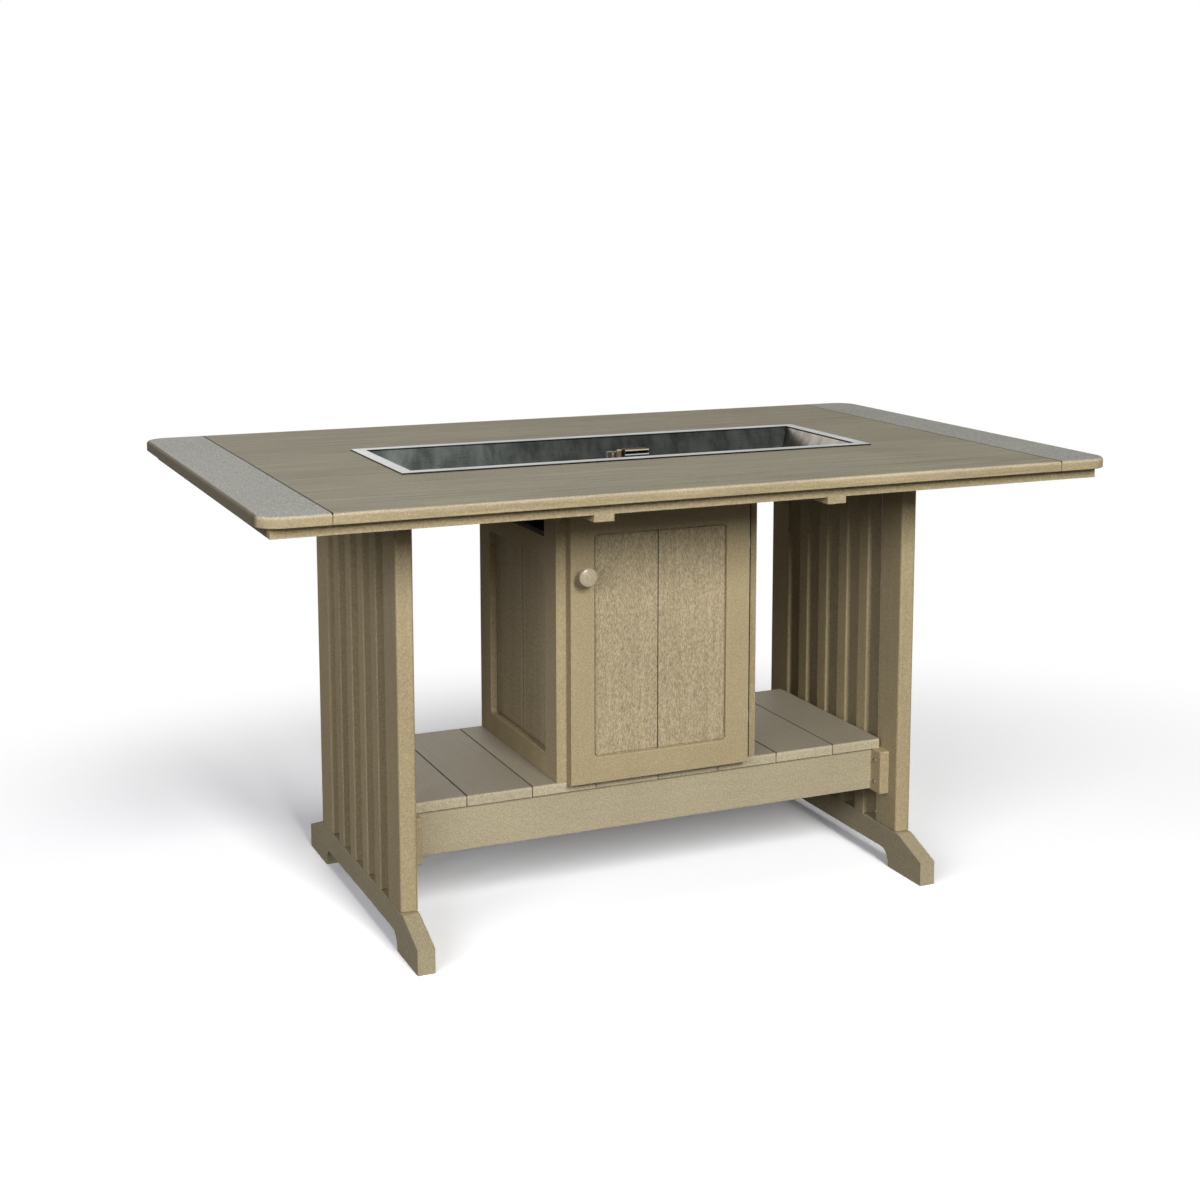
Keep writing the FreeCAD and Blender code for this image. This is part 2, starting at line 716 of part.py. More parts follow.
def make_pan():
    """The drop-in steel pan: a flange whose rim turns down on the top boards, and walls that lean inwards."""
    flange_top = table_height + pan_rim_height
    half_x = pan_open_length / 2
    half_y = pan_open_width / 2
    lean = pan_wall_lean
    outer = tray(half_x + pan_sheet, half_y + pan_sheet, table_height, pan_under_z, lean)
    flange_half_x = half_x + pan_flange_width
    flange_half_y = half_y + pan_flange_width
    flange = box((-flange_half_x, flange_half_x), (-flange_half_y, flange_half_y), (table_height, flange_top))
    hollow = tray(half_x, half_y, table_height, pan_floor_z, lean)
    mouth = box((-half_x, half_x), (-half_y, half_y), (table_height, flange_top))
    under_z = (table_height, flange_top - pan_sheet)
    under_flange = box((-flange_half_x + pan_sheet, flange_half_x - pan_sheet),
                       (-flange_half_y + pan_sheet, flange_half_y - pan_sheet), under_z)
    under_flange = under_flange.cut(box((-half_x - pan_sheet, half_x + pan_sheet),
                                        (-half_y - pan_sheet, half_y + pan_sheet), under_z))
    pan = outer.fuse(flange).cut(hollow.fuse(mouth)).cut(under_flange).removeSplitter()
    for x, y, radius in ((burner_inlet_x, 0, burner_inlet_radius),
                         (thermocouple_x, -igniter_offset_y, thermocouple_radius),
                         (electrode_x, -igniter_offset_y, electrode_radius)):
        pan = pan.cut(rod(radius + pan_hole_play, Vector(x, y, pan_under_z), Vector(x, y, pan_floor_z)))
    nodes["fire_pan"] = [pan]


def hexagon(middle, across_flats):
    """The outline of a hexagon nut, lying flat."""
    corner = across_flats / math.sqrt(3)
    angles = [math.radians(60 * i) for i in range(7)]
    return Part.makePolygon([middle + Vector(corner * math.cos(a), corner * math.sin(a), 0) for a in angles])


def make_burner():
    """A straight tube burner on two saddles, with its inlet through the pan's floor."""
    left = Vector(-burner_half_length, 0, burner_axis_z)
    right = Vector(burner_half_length, 0, burner_axis_z)
    inset = Vector(burner_wall, 0, 0)
    inlet_top = Vector(burner_inlet_x, 0, burner_axis_z)
    inlet_end = Vector(burner_inlet_x, 0, burner_inlet_end_z)
    outside = rod(burner_radius, left, right).fuse(rod(burner_inlet_radius, inlet_end, inlet_top))
    inside = rod(burner_radius - burner_wall, left + inset, right - inset)
    inside = inside.fuse(rod(burner_inlet_radius - burner_inlet_wall, inlet_end, inlet_top))
    nodes["burner_tube"] = [outside.cut(inside).removeSplitter()]
    saddle = box((saddle_x - saddle_width / 2, saddle_x + saddle_width / 2),
                 (-saddle_half_depth, saddle_half_depth), (pan_floor_z, burner_axis_z))
    around = rod(burner_radius + pan_hole_play, left, right)
    saddle = saddle.cut(around)
    nodes["burner_saddles"] = [saddle, mirror_x(saddle)]
    nut = hexagon(Vector(burner_inlet_x, 0, pan_under_z - locknut_height), locknut_width)
    nut = Part.Face(nut).extrude(UP * locknut_height)
    nut = nut.cut(rod(burner_inlet_radius + hinge_fixed_play, inlet_end, inlet_top))
    nodes["burner_locknut"] = [nut]


def sensor_window(left_x, front_y, foot_z):
    """An upright sheet frame on the igniter's bracket, in front of the flame sensor."""
    right_x = collector_x - collector_radius - guard_from_collector
    top_z = foot_z + collector_height
    y = (front_y, front_y + bracket_sheet)
    sheet = box((left_x, right_x), y, (foot_z, top_z))
    return sheet.cut(box((left_x + sensor_window_bar, right_x - sensor_window_bar), y,
                         (foot_z, top_z - sensor_window_bar)))


def make_igniter():
    """Bracket over the burner with the spark electrode, its guard, the flame collector and the sensor."""
    y = -igniter_offset_y
    plate_z = burner_axis_z + burner_radius + bracket_over_burner
    plate_top = plate_z + bracket_sheet
    guard_start_x = collector_x + collector_radius + guard_from_collector
    guard_x = (guard_start_x, guard_start_x + guard_length)
    guard_y = (y - guard_depth / 2, y + guard_depth / 2)
    back_y = burner_radius + bracket_over_burner + bracket_sheet
    plate_x = (thermocouple_x - bracket_past_sensor, guard_x[1])
    bracket = box(plate_x, (guard_y[0], back_y), (plate_z, plate_top))
    leg = box((electrode_x - bracket_leg_half_width, electrode_x + bracket_leg_half_width),
              (back_y - bracket_sheet, back_y), (pan_floor_z, plate_top))
    bracket = bracket.fuse(leg).fuse(sensor_window(plate_x[0], guard_y[0], plate_top))
    tip_z = plate_top + thermocouple_above_plate
    thermocouple = rod(thermocouple_radius, Vector(thermocouple_x, y, pan_under_z),
                       Vector(thermocouple_x, y, tip_z))
    thermocouple = round_edges(thermocouple, thermocouple_tip_round, lambda edge: lies_at(edge, 2, tip_z))
    ceramic_top = Vector(electrode_x, y, plate_top + ceramic_above_plate)
    ceramic = rod(electrode_radius, Vector(electrode_x, y, pan_under_z), ceramic_top)
    tip = rod(electrode_tip_radius, ceramic_top, Vector(electrode_x, y, plate_top + electrode_above_plate))
    for x, radius in ((thermocouple_x, thermocouple_radius), (electrode_x, electrode_radius)):
        bracket = bracket.cut(rod(radius + pan_hole_play, Vector(x, y, plate_z), Vector(x, y, plate_top)))
    collector_foot = Vector(collector_x, y, plate_top)
    collector = rod(collector_radius, collector_foot, collector_foot + UP * collector_height)
    collector = collector.cut(rod(collector_radius - guard_sheet, collector_foot,
                                  collector_foot + UP * (collector_height - guard_sheet)))
    window = box((collector_x, collector_x + collector_radius),
                 (y - collector_window_half, y + collector_window_half),
                 (plate_top + collector_window_low, plate_top + collector_window_high))
    collector = collector.cut(window)
    guard_z = (plate_top, plate_top + guard_height)
    guard = box(guard_x, guard_y, guard_z)
    inner_x = (guard_x[0] + guard_sheet, guard_x[1] - guard_sheet)
    bar_z = guard_z[0] + guard_bar_low
    guard = guard.cut(box(inner_x, (guard_y[0] + guard_sheet, guard_y[1] - guard_sheet),
                          (guard_z[0], guard_z[1] - guard_sheet)))
    for low, high in ((guard_z[0], bar_z), (bar_z + guard_bar_height, guard_z[1] - guard_lip)):
        guard = guard.cut(box(inner_x, (guard_y[0], guard_y[0] + guard_sheet), (low, high)))
    nodes["igniter_bracket"] = [bracket.removeSplitter()]
    nodes["thermocouple"] = [thermocouple]
    nodes["spark_electrode"] = [ceramic.fuse(tip).removeSplitter()]
    nodes["flame_collector"] = [collector]
    nodes["spark_guard"] = [guard]


def bent_line(radius, start, corner, end):
    """A tube of one bend that the table holds all the way."""
    before = start - corner
    after = end - corner
    before.normalize()
    after.normalize()
    bend_start = corner + before * line_bend_radius
    bend_end = corner + after * line_bend_radius
    centre = corner + before * line_bend_radius + after * line_bend_radius
    towards = corner - centre
    towards.normalize()
    edges = [Part.LineSegment(start, bend_start).toShape(),
             Part.Arc(bend_start, centre + towards * line_bend_radius, bend_end).toShape(),
             Part.LineSegment(bend_end, end).toShape()]
    section = Part.Wire(Part.Circle(start, before, radius).toShape())
    return Part.Wire(edges).makePipeShell([section], True, False)


def make_controls():
    """The control panel inside the cabinet with the gas valve, its knob and the igniter button."""
    plate_y = (front_frame_back_y, front_frame_back_y + control_panel_sheet)
    plate_z = (control_height_z - panel_below_controls, top_cleat_under_z)
    plate = box((-control_panel_half_length, control_panel_half_length), plate_y, plate_z)
    valve_at = Vector(burner_inlet_x, plate_y[0], control_height_z)
    button_at = Vector(electrode_x, plate_y[0], control_height_z)
    through = Vector(0, control_panel_sheet, 0)
    plate = plate.cut(rod(valve_stem_radius + panel_hole_play, valve_at, valve_at + through))
    plate = plate.cut(rod(igniter_case_radius + panel_hole_play, button_at, button_at + through))
    nodes["control_panel"] = [plate]
    make_valve(valve_at, plate_y[1])
    make_igniter_button(button_at)
    lead_start = Vector(thermocouple_x, plate_y[1] + valve_body_depth, control_height_z + sensor_lead_rise)
    lead_end = Vector(thermocouple_x, -igniter_offset_y, pan_under_z)
    nodes["thermocouple_lead"] = [bent_line(sensor_lead_radius, lead_start,
                                            Vector(lead_start.x, lead_end.y, lead_start.z), lead_end)]


def make_valve(front, back_y):
    """Gas valve behind the panel: body, stem and knob, inlet fitting and the tube to the burner."""
    half = valve_body_width / 2
    body = box((front.x - half, front.x + half + valve_sensor_boss), (back_y, back_y + valve_body_depth),
               (front.z - half, front.z + half))
    body = round_edges(body, frame_ease, lambda edge: runs_along(edge, Vector(0, 1, 0)))
    stem_end = Vector(front.x, back_y + valve_body_depth / 2, front.z)
    stem_front = Vector(front.x, front.y - valve_stem_in_knob, front.z)
    stem_hole = rod(valve_stem_radius + hinge_running_play, Vector(front.x, back_y, front.z),
                    stem_end + Vector(0, panel_hole_play, 0))
    nodes["gas_valve"] = [body.cut(stem_hole)]
    stem = rod(valve_stem_radius, stem_front, stem_end)
    nodes["valve_stem"] = [stem]
    knob_back = Vector(front.x, front.y - panel_hole_play, front.z)
    skirt_front = knob_back - Vector(0, control_knob_skirt, 0)
    knob = rod(control_knob_radius, knob_back, skirt_front)
    knob = round_edges(knob, frame_ease, lambda edge: lies_at(edge, 1, skirt_front.y))
    grip = box((front.x - control_grip_half_width, front.x + control_grip_half_width),
               (front.y - control_knob_reach, skirt_front.y),
               (front.z - control_grip_half_length, front.z + control_grip_half_length))
    grip = round_edges(grip, frame_ease, lambda edge: lies_at(edge, 1, front.y - control_knob_reach)
                       or runs_along(edge, Vector(0, 1, 0)))
    nodes["control_knob"] = [knob.fuse(grip).removeSplitter().cut(stem)]
    middle_y = back_y + valve_body_depth / 2
    inlet_top = Vector(front.x, middle_y, front.z - half)
    inlet_end = inlet_top - Vector(0, 0, inlet_fitting_length)
    inlet = rod(inlet_collar_radius, inlet_top - Vector(0, 0, inlet_collar_length), inlet_top)
    inlet = inlet.fuse(rod(inlet_fitting_radius, inlet_end, inlet_top))
    nodes["gas_inlet_fitting"] = [inlet.cut(rod(inlet_fitting_bore, inlet_end, inlet_top)).removeSplitter()]
    outlet = Vector(front.x, back_y + valve_body_depth, front.z)
    nodes["gas_tube"] = [bent_line(gas_tube_radius, outlet, Vector(front.x, 0, front.z),
                                   Vector(front.x, 0, burner_inlet_end_z))]


def make_igniter_button(front):
    """Push button in a bezel, with the spark maker's case behind the panel and its lead."""
    back = Vector(0, 1, 0)
    case_end = front + back * igniter_case_length
    bezel_front = front - back * igniter_bezel_thick
    case = rod(igniter_case_radius, front, case_end).fuse(rod(igniter_bezel_radius, bezel_front, front))
    bore = rod(button_radius + button_running_play, bezel_front, front + back * button_bore_depth)
    nodes["igniter_case"] = [case.cut(bore).removeSplitter()]
    button_front = bezel_front - back * button_proud
    button_back = front + back * (button_bore_depth - button_travel - panel_hole_play)
    button = rod(button_radius, button_front, button_back)
    button = round_edges(button, frame_ease, lambda edge: lies_at(edge, 1, button_front.y))
    nodes["igniter_button"] = [button]
    nodes["ignition_lead"] = [bent_line(lead_radius, case_end, Vector(front.x, -igniter_offset_y, front.z),
                                        Vector(front.x, -igniter_offset_y, pan_under_z))]


def write_parts():
    """Writes one file per named piece, or per group of like pieces."""
    os.makedirs("parts", exist_ok=True)
    for name, pieces in nodes.items():
        for piece in pieces:
            if not piece.isValid() or len(piece.Solids) != 1:
                raise ValueError("%s is not one sound solid" % name)
        solids = [piece.Solids[0] for piece in pieces]
        shape = solids[0] if len(solids) == 1 else Part.makeCompound(solids)
        shape.exportStep("parts/%s.step" % name)
    print(len(nodes), "nodes,", sum(len(pieces) for pieces in nodes.values()), "solids")


make_top()
make_apron()
make_trestles()
make_stretchers()
make_shelf()
make_cabinet()
make_door()
make_pan()
make_burner()
make_igniter()
make_controls()
write_parts()
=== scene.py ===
# %% [markdown]
# # A fire pit table of plastic lumber
#
# The table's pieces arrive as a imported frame: boards, trestles, cabinet, fire pan and gas parts,
# each where the real one is. This lesson gives them their surfaces, adds what is too fine for the
# frame, and lights them in a studio. Nothing here moves a piece of the frame. Lengths are in
# metres, X runs along the table and the door faces -Y.

# %% Load the frame
import math

import bmesh
import bpy
from mathutils import Euler, Matrix, Vector


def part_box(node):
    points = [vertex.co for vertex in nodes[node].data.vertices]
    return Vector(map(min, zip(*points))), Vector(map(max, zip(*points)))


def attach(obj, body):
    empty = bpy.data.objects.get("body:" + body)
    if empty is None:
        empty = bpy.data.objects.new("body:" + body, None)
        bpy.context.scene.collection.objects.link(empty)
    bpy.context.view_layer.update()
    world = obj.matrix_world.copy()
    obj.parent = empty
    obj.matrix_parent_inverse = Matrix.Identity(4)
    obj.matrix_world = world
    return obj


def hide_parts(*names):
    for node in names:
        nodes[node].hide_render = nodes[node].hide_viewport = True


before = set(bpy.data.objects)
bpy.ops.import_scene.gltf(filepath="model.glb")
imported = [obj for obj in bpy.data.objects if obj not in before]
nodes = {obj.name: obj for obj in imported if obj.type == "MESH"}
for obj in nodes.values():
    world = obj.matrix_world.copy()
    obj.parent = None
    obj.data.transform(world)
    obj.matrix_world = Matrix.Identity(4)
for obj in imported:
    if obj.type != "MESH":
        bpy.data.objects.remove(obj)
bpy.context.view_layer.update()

scene = bpy.context.scene

# %% [markdown]
# ## The camera
#
# A photograph's view can be copied with four facts: where the camera stands, where it points, its
# focal length, and where its axis meets the picture. The picture is 1200 pixels wide and high, and
# the focal length and the axis are given in these pixels. The axis meets the picture to the right
# of and above the middle, so the lens is shifted a little, as on a view camera, and upright lines
# stay almost upright.

# %% Camera
PICTURE = 1200.0
FOCAL_LENGTH = 1898.8
AXIS_X = 670.0
AXIS_Y = 458.7
SENSOR = 36.0
FARTHEST_SEEN = 100.0
CAMERA_PLACE = Vector((-1.6446, -3.7810, 1.5316))
LOOK_DOWN = math.radians(8.325)
ROLL = math.radians(0.244)
HEADING = math.radians(-25.198)

lens = bpy.data.cameras.new("photo_camera")
lens.sensor_width = SENSOR
lens.lens = FOCAL_LENGTH * SENSOR / PICTURE
lens.shift_x = (PICTURE / 2 - AXIS_X) / PICTURE
lens.shift_y = (AXIS_Y - PICTURE / 2) / PICTURE
lens.clip_end = FARTHEST_SEEN
camera = bpy.data.objects.new("photo_camera", lens)
scene.collection.objects.link(camera)
aim = Euler((math.pi / 2 - LOOK_DOWN, 0, HEADING)).to_matrix().to_4x4()
aim = aim @ Matrix.Rotation(ROLL, 4, "Z")
camera.matrix_world = Matrix.Translation(CAMERA_PLACE) @ aim
scene.camera = camera
scene.view_settings.view_transform = "Standard"
print("lens", round(lens.lens, 1), "mm, shift", round(lens.shift_x, 3), round(lens.shift_y, 3))

# %% [markdown]
# ## Helpers for node trees
#
# Every finish below is a tree of shader nodes. Small helpers keep the trees readable. They add a
# node and feed its inputs with values or with other nodes' outputs, do one step of arithmetic, mix
# two colours, or start a group or a material.

# %% Node helpers
COLOUR_INPUTS = (0, 6, 7)
COLOUR_RESULT = 2


def feed(tree, socket, value):
    """Links another node's output to an input, or sets the input's own value."""
    if isinstance(value, bpy.types.NodeSocket):
        tree.links.new(value, socket)
    else:
        socket.default_value = value


def put(tree, kind, options=None, **inputs):
    """Adds a node. Underscores in an input's name stand for spaces."""
    node = tree.nodes.new(kind)
    for name, value in (options or {}).items():
        setattr(node, name, value)
    for name, value in inputs.items():
        feed(tree, node.inputs[name.replace("_", " ")], value)
    return node


def calculate(tree, operation, *values):
    """The result of one arithmetic step."""
    node = put(tree, "ShaderNodeMath", {"operation": operation})
    for socket, value in zip(node.inputs, values):
        feed(tree, socket, value)
    return node.outputs[0]


def times(tree, vector, by):
    """A vector multiplied by another, axis by axis."""
    node = put(tree, "ShaderNodeVectorMath", {"operation": "MULTIPLY"})
    feed(tree, node.inputs[0], vector)
    feed(tree, node.inputs[1], by)
    return node.outputs[0]


def scale(tree, colour, level):
    """A colour made lighter or darker by a factor."""
    node = put(tree, "ShaderNodeVectorMath", {"operation": "SCALE"}, Vector=colour, Scale=level)
    return node.outputs[0]


def split(tree, vector):
    """The X, Y and Z of a vector."""
    return put(tree, "ShaderNodeSeparateXYZ", Vector=vector).outputs


def join(tree, **axes):
    """A vector from its X, Y and Z. What isn't given is 0."""
    return put(tree, "ShaderNodeCombineXYZ", **axes).outputs[0]


def blend_colours(tree, share, first, second):
    """The first colour where share is 0, the second where it is 1.

    A Mix node has sockets for several kinds of data, so those for colours are picked by number."""
    node = put(tree, "ShaderNodeMix", {"data_type": "RGBA"})
    for index, value in zip(COLOUR_INPUTS, (share, first, second)):
        feed(tree, node.inputs[index], value)
    return node.outputs[COLOUR_RESULT]


def spread(tree, value, low, high):
    """Stretches the part of a value between low and high to 0 to 1, with soft ends."""
    node = put(tree, "ShaderNodeMapRange", {"interpolation_type": "SMOOTHSTEP"}, Value=value,
               From_Min=low, From_Max=high)
    return node.outputs["Result"]


print("node helpers ready")

# %% Group and material helpers
def new_group(name, inputs, outputs):
    """An empty shader group with named sockets. Returns it with its inner inputs and outputs."""
    group = bpy.data.node_groups.new(name, "ShaderNodeTree")
    for label, kind, value in inputs:
        socket = group.interface.new_socket(label, in_out="INPUT", socket_type=kind)
        socket.default_value = value
    for label, kind in outputs:
        group.interface.new_socket(label, in_out="OUTPUT", socket_type=kind)
    given = group.nodes.new("NodeGroupInput").outputs
    result = group.nodes.new("NodeGroupOutput").inputs
    return group, given, result


def new_material(name):
    """A material with its Principled shader, and the piece's own coordinates to paint by."""
    material = bpy.data.materials.new(name)
    material.use_nodes = True
    tree = material.node_tree
    shader = tree.nodes["Principled BSDF"]
    place = put(tree, "ShaderNodeTexCoord").outputs["Object"]
    return material, tree, shader, place


def finish_nodes(material, *names):
    """Gives frame pieces one finish in place of what they came with."""
    for name in names:
        mesh = nodes[name].data
        mesh.materials.clear()
        mesh.materials.append(material)


print("group and material helpers ready")

# %% [markdown]
# ## The studio
#
# One tall softbox stands straight in front of the table and higher than the top. As in the
# photograph, the door is bright, the left-hand faces are in shade, and the overhanging top throws a
# soft band of shadow. The box stands well back, so that it lights the whole length evenly, and it
# is narrow, so that only a thin line of light reaches the edge of each spindle. A weaker box
# farther round to the left fills the shaded faces, and a faint one behind keeps the back readable.
#
# The floor takes the shadow. It looks pale but throws little light back up, and far from the table
# it turns into plain white, by what the camera sees and not by more light.

# %% Floor
FLOOR_HALF = 14.0
SHADOW_REACH = (0.75, 1.9)
SHADOW_SQUASH = (0.75, 1.0, 1.0)
FLOOR_PALE = 0.12
FLOOR_SEEN = 1.52
FLOOR_LIFT = 0.04


def seen_directly(tree):
    """1 for what the camera sees, also mirrored or through glass, and 0 for light on the object."""
    path = put(tree, "ShaderNodeLightPath").outputs
    seen = calculate(tree, "MAXIMUM", path["Is Camera Ray"], path["Is Glossy Ray"])
    return calculate(tree, "MAXIMUM", seen, path["Is Transmission Ray"])


def make_floor():
    """A wide floor that takes the shadow near the table and is plain white farther out."""
    mesh = bpy.data.meshes.new("floor")
    corners = [(-FLOOR_HALF, -FLOOR_HALF, 0), (FLOOR_HALF, -FLOOR_HALF, 0),
               (FLOOR_HALF, FLOOR_HALF, 0), (-FLOOR_HALF, FLOOR_HALF, 0)]
    mesh.from_pydata(corners, [], [(0, 1, 2, 3)])
    floor = bpy.data.objects.new("floor", mesh)
    scene.collection.objects.link(floor)
    material = bpy.data.materials.new("pale_floor")
    material.use_nodes = True
    tree = material.node_tree
    tree.nodes.clear()
    place = put(tree, "ShaderNodeTexCoord").outputs["Object"]
    squashed = times(tree, place, SHADOW_SQUASH)
    distance = put(tree, "ShaderNodeVectorMath", {"operation": "LENGTH"}, Vector=squashed)
    far = spread(tree, distance.outputs["Value"], *SHADOW_REACH)
    seen = seen_directly(tree)
    paleness = blend_colours(tree, seen, (FLOOR_PALE,) * 3 + (1,), (FLOOR_SEEN,) * 3 + (1,))
    matt = put(tree, "ShaderNodeBsdfDiffuse", Color=paleness)
    lift = put(tree, "ShaderNodeEmission", Strength=calculate(tree, "MULTIPLY", seen, FLOOR_LIFT))
    near = put(tree, "ShaderNodeAddShader")
    tree.links.new(matt.outputs[0], near.inputs[0])
    tree.links.new(lift.outputs[0], near.inputs[1])
    white = put(tree, "ShaderNodeEmission", Strength=1.0)
    mix = put(tree, "ShaderNodeMixShader", Fac=calculate(tree, "MULTIPLY", far, seen))
    tree.links.new(near.outputs[0], mix.inputs[1])
    tree.links.new(white.outputs[0], mix.inputs[2])
    out = put(tree, "ShaderNodeOutputMaterial")
    tree.links.new(mix.outputs[0], out.inputs["Surface"])
    mesh.materials.append(material)


make_floor()
print("floor is", 2 * FLOOR_HALF, "m wide")

# %% World and lamps
WHITE = (1, 1, 1)
COOL = (0.98, 0.99, 1.08)


def make_world(ambient):
    """White where the camera sees it, and a dimmer even light on the object."""
    world = bpy.data.worlds.new("studio_air")
    world.use_nodes = True
    scene.world = world
    tree = world.node_tree
    extra = calculate(tree, "MULTIPLY", seen_directly(tree), 1.0 - ambient)
    background = tree.nodes["Background"]
    background.inputs["Color"].default_value = WHITE + (1,)
    tree.links.new(calculate(tree, "ADD", extra, ambient), background.inputs["Strength"])


def make_softbox(name, place, target, size, power, colour=WHITE):
    """A rectangular soft light aimed at a point."""
    light = bpy.data.lights.new(name, "AREA")
    light.shape = "RECTANGLE"
    light.size, light.size_y = size
    light.energy = power
    light.color = colour
    lamp = bpy.data.objects.new(name, light)
    scene.collection.objects.link(lamp)
    aimed = (Vector(target) - Vector(place)).to_track_quat("-Z", "Y").to_matrix().to_4x4()
    lamp.matrix_world = Matrix.Translation(place) @ aimed


make_world(ambient=0.05)
make_softbox("front_softbox", place=(-0.12, -8.75, 5.35), target=(0.0, -0.25, 0.8),
             size=(2.2, 3.85), power=830)
make_softbox("left_softbox", place=(-5.07, -4.25, 2.88), target=(0.0, 0.0, 0.6),
             size=(4.0, 2.3), power=200, colour=COOL)
make_softbox("back_softbox", place=(-1.0, 7.0, 3.4), target=(0.0, 0.0, 0.6),
             size=(5.0, 3.0), power=85)
print("studio ready")

# %% [markdown]
# ## Plastic lumber
#
# The boards are plastic sawn and planed like wood. Close up they show three things at once: long
# faint lines along the board, short flecks, and an even speckle of pale and dark grains. Each board
# also differs a little in shade. One group makes all of it from the piece's own coordinates: a
# noise that is stretched along one axis gives lines and flecks that run with the board, and on a
# board's end the same noise shows as dots, as end grain does. A picture of lumber could be wrapped
# round each board instead, but it would repeat and would need a layout for every piece.

# %% Lumber group
VECTOR = "NodeSocketVector"
NUMBER = "NodeSocketFloat"
COLOUR = "NodeSocketColor"
NOISE_SPAN = (0.3, 0.7)
FLECK_SPAN = (0.32, 0.68)
PALE_SPAN = (0.60, 0.78)
PALE_GRAIN = (0.74, 0.69, 0.56, 1)
CLOUD_RATE = (5.0, 5.0, 5.0)
CLOUD_DEPTH = 0.06
FLECK_ROUGHNESS = 0.12
SPECKLE_ROUGHNESS = 0.08
LINE_RELIEF = 0.5
FLECK_RELIEF = 0.3
SPECKLE_RELIEF = 0.35


def noise(tree, place, rate, detail, roughness):
    """A cloudy value around a half, whose rate says how often it changes in a metre."""
    node = put(tree, "ShaderNodeTexNoise", Vector=times(tree, place, rate), Scale=1.0,
               Detail=detail, Roughness=roughness)
    return node.outputs["Fac"]


def pattern(tree, place, rate, detail, roughness, span=NOISE_SPAN):
    """Noise of which the part inside a span fills 0 to 1."""
    return spread(tree, noise(tree, place, rate, detail, roughness), *span)


def make_lumber_group():
    """Colour, roughness and relief of a plastic lumber board."""
    group, given, result = new_group(
        "Plastic Lumber",
        [("Place", VECTOR, (0, 0, 0)), ("Color", COLOUR, (0.4, 0.33, 0.2, 1)),
         ("Line Rate", VECTOR, (3, 80, 80)), ("Line Depth", NUMBER, 0.15),
         ("Fleck Rate", VECTOR, (40, 250, 250)), ("Fleck Depth", NUMBER, 0.15),
         ("Speckle Rate", NUMBER, 290.0), ("Speckle Depth", NUMBER, 0.2),
         ("Pale Grains", NUMBER, 0.2), ("Shade", NUMBER, 0.5), ("Shade Depth", NUMBER, 0.1),
         ("Base Roughness", NUMBER, 0.6)],
        [("Color", COLOUR), ("Roughness", NUMBER), ("Relief", NUMBER)])
    place = given["Place"]
    lines = pattern(group, place, given["Line Rate"], detail=5.0, roughness=0.65)
    flecks = pattern(group, place, given["Fleck Rate"], detail=3.0, roughness=0.6, span=FLECK_SPAN)
    rate = given["Speckle Rate"]
    grains = noise(group, place, join(group, X=rate, Y=rate, Z=rate), detail=2.0, roughness=0.7)
    speckle = spread(group, grains, *NOISE_SPAN)
    clouds = pattern(group, place, CLOUD_RATE, detail=3.0, roughness=0.6)
    swings = ((lines, given["Line Depth"]), (flecks, given["Fleck Depth"]),
              (speckle, given["Speckle Depth"]), (given["Shade"], given["Shade Depth"]),
              (clouds, CLOUD_DEPTH))
    level = 1.0
    for value, depth in swings:
        swing = calculate(group, "MULTIPLY", calculate(group, "SUBTRACT", value, 0.5), depth)
        level = calculate(group, "ADD", level, swing)
    pale = calculate(group, "MULTIPLY", spread(group, grains, *PALE_SPAN), given["Pale Grains"])
    body = scale(group, given["Color"], level)
    feed(group, result["Color"], blend_colours(group, pale, body, PALE_GRAIN))
    rough = calculate(group, "MULTIPLY_ADD", flecks, FLECK_ROUGHNESS, given["Base Roughness"])
    rough = calculate(group, "MULTIPLY_ADD", speckle, SPECKLE_ROUGHNESS, rough)
    feed(group, result["Roughness"], rough)
    relief = calculate(group, "MULTIPLY", speckle, SPECKLE_RELIEF)
    relief = calculate(group, "MULTIPLY_ADD", lines, LINE_RELIEF, relief)
    relief = calculate(group, "MULTIPLY_ADD", flecks, FLECK_RELIEF, relief)
    feed(group, result["Relief"], relief)
    return group


LUMBER = make_lumber_group()
print("group", LUMBER.name, "has", len(LUMBER.nodes), "nodes")

# %% [markdown]
# ## One shade for each board
#
# Boards that lie side by side in one piece of the frame still need their own shade. Counting which
# board a point is on, from its distance along one axis and the width of a board, gives a whole
# number, and white noise turns that number into a shade that stays the same over the whole board.
# The fraction that is left over tells how near a seam is, where painted shade darkens the faces.

# %% Board shade group
def make_shade_group():
    """A steady random value for each board of a row, and the distance to the row's nearest seam."""
    group, given, result = new_group(
        "Board Shade",
        [("Position", NUMBER, 0.0), ("Start", NUMBER, 0.0), ("Board Width", NUMBER, 0.14),
         ("Seed", NUMBER, 1.0)],
        [("Shade", NUMBER), ("Seam Distance", NUMBER)])
    from_start = calculate(group, "SUBTRACT", given["Position"], given["Start"])
    boards_past = calculate(group, "DIVIDE", from_start, given["Board Width"])
    from_middle = calculate(group, "SUBTRACT", calculate(group, "FRACT", boards_past), 0.5)
    to_seam = calculate(group, "SUBTRACT", 0.5, calculate(group, "ABSOLUTE", from_middle))
    seam_distance = calculate(group, "MULTIPLY", to_seam, given["Board Width"])
    feed(group, result["Seam Distance"], seam_distance)
    picked = calculate(group, "ADD", calculate(group, "FLOOR", boards_past), given["Seed"])
    random = put(group, "ShaderNodeTexWhiteNoise", {"noise_dimensions": "1D"}, W=picked)
    feed(group, result["Shade"], random.outputs["Value"])
    return group


SHADE = make_shade_group()
print("group", SHADE.name, "has", len(SHADE.nodes), "nodes")
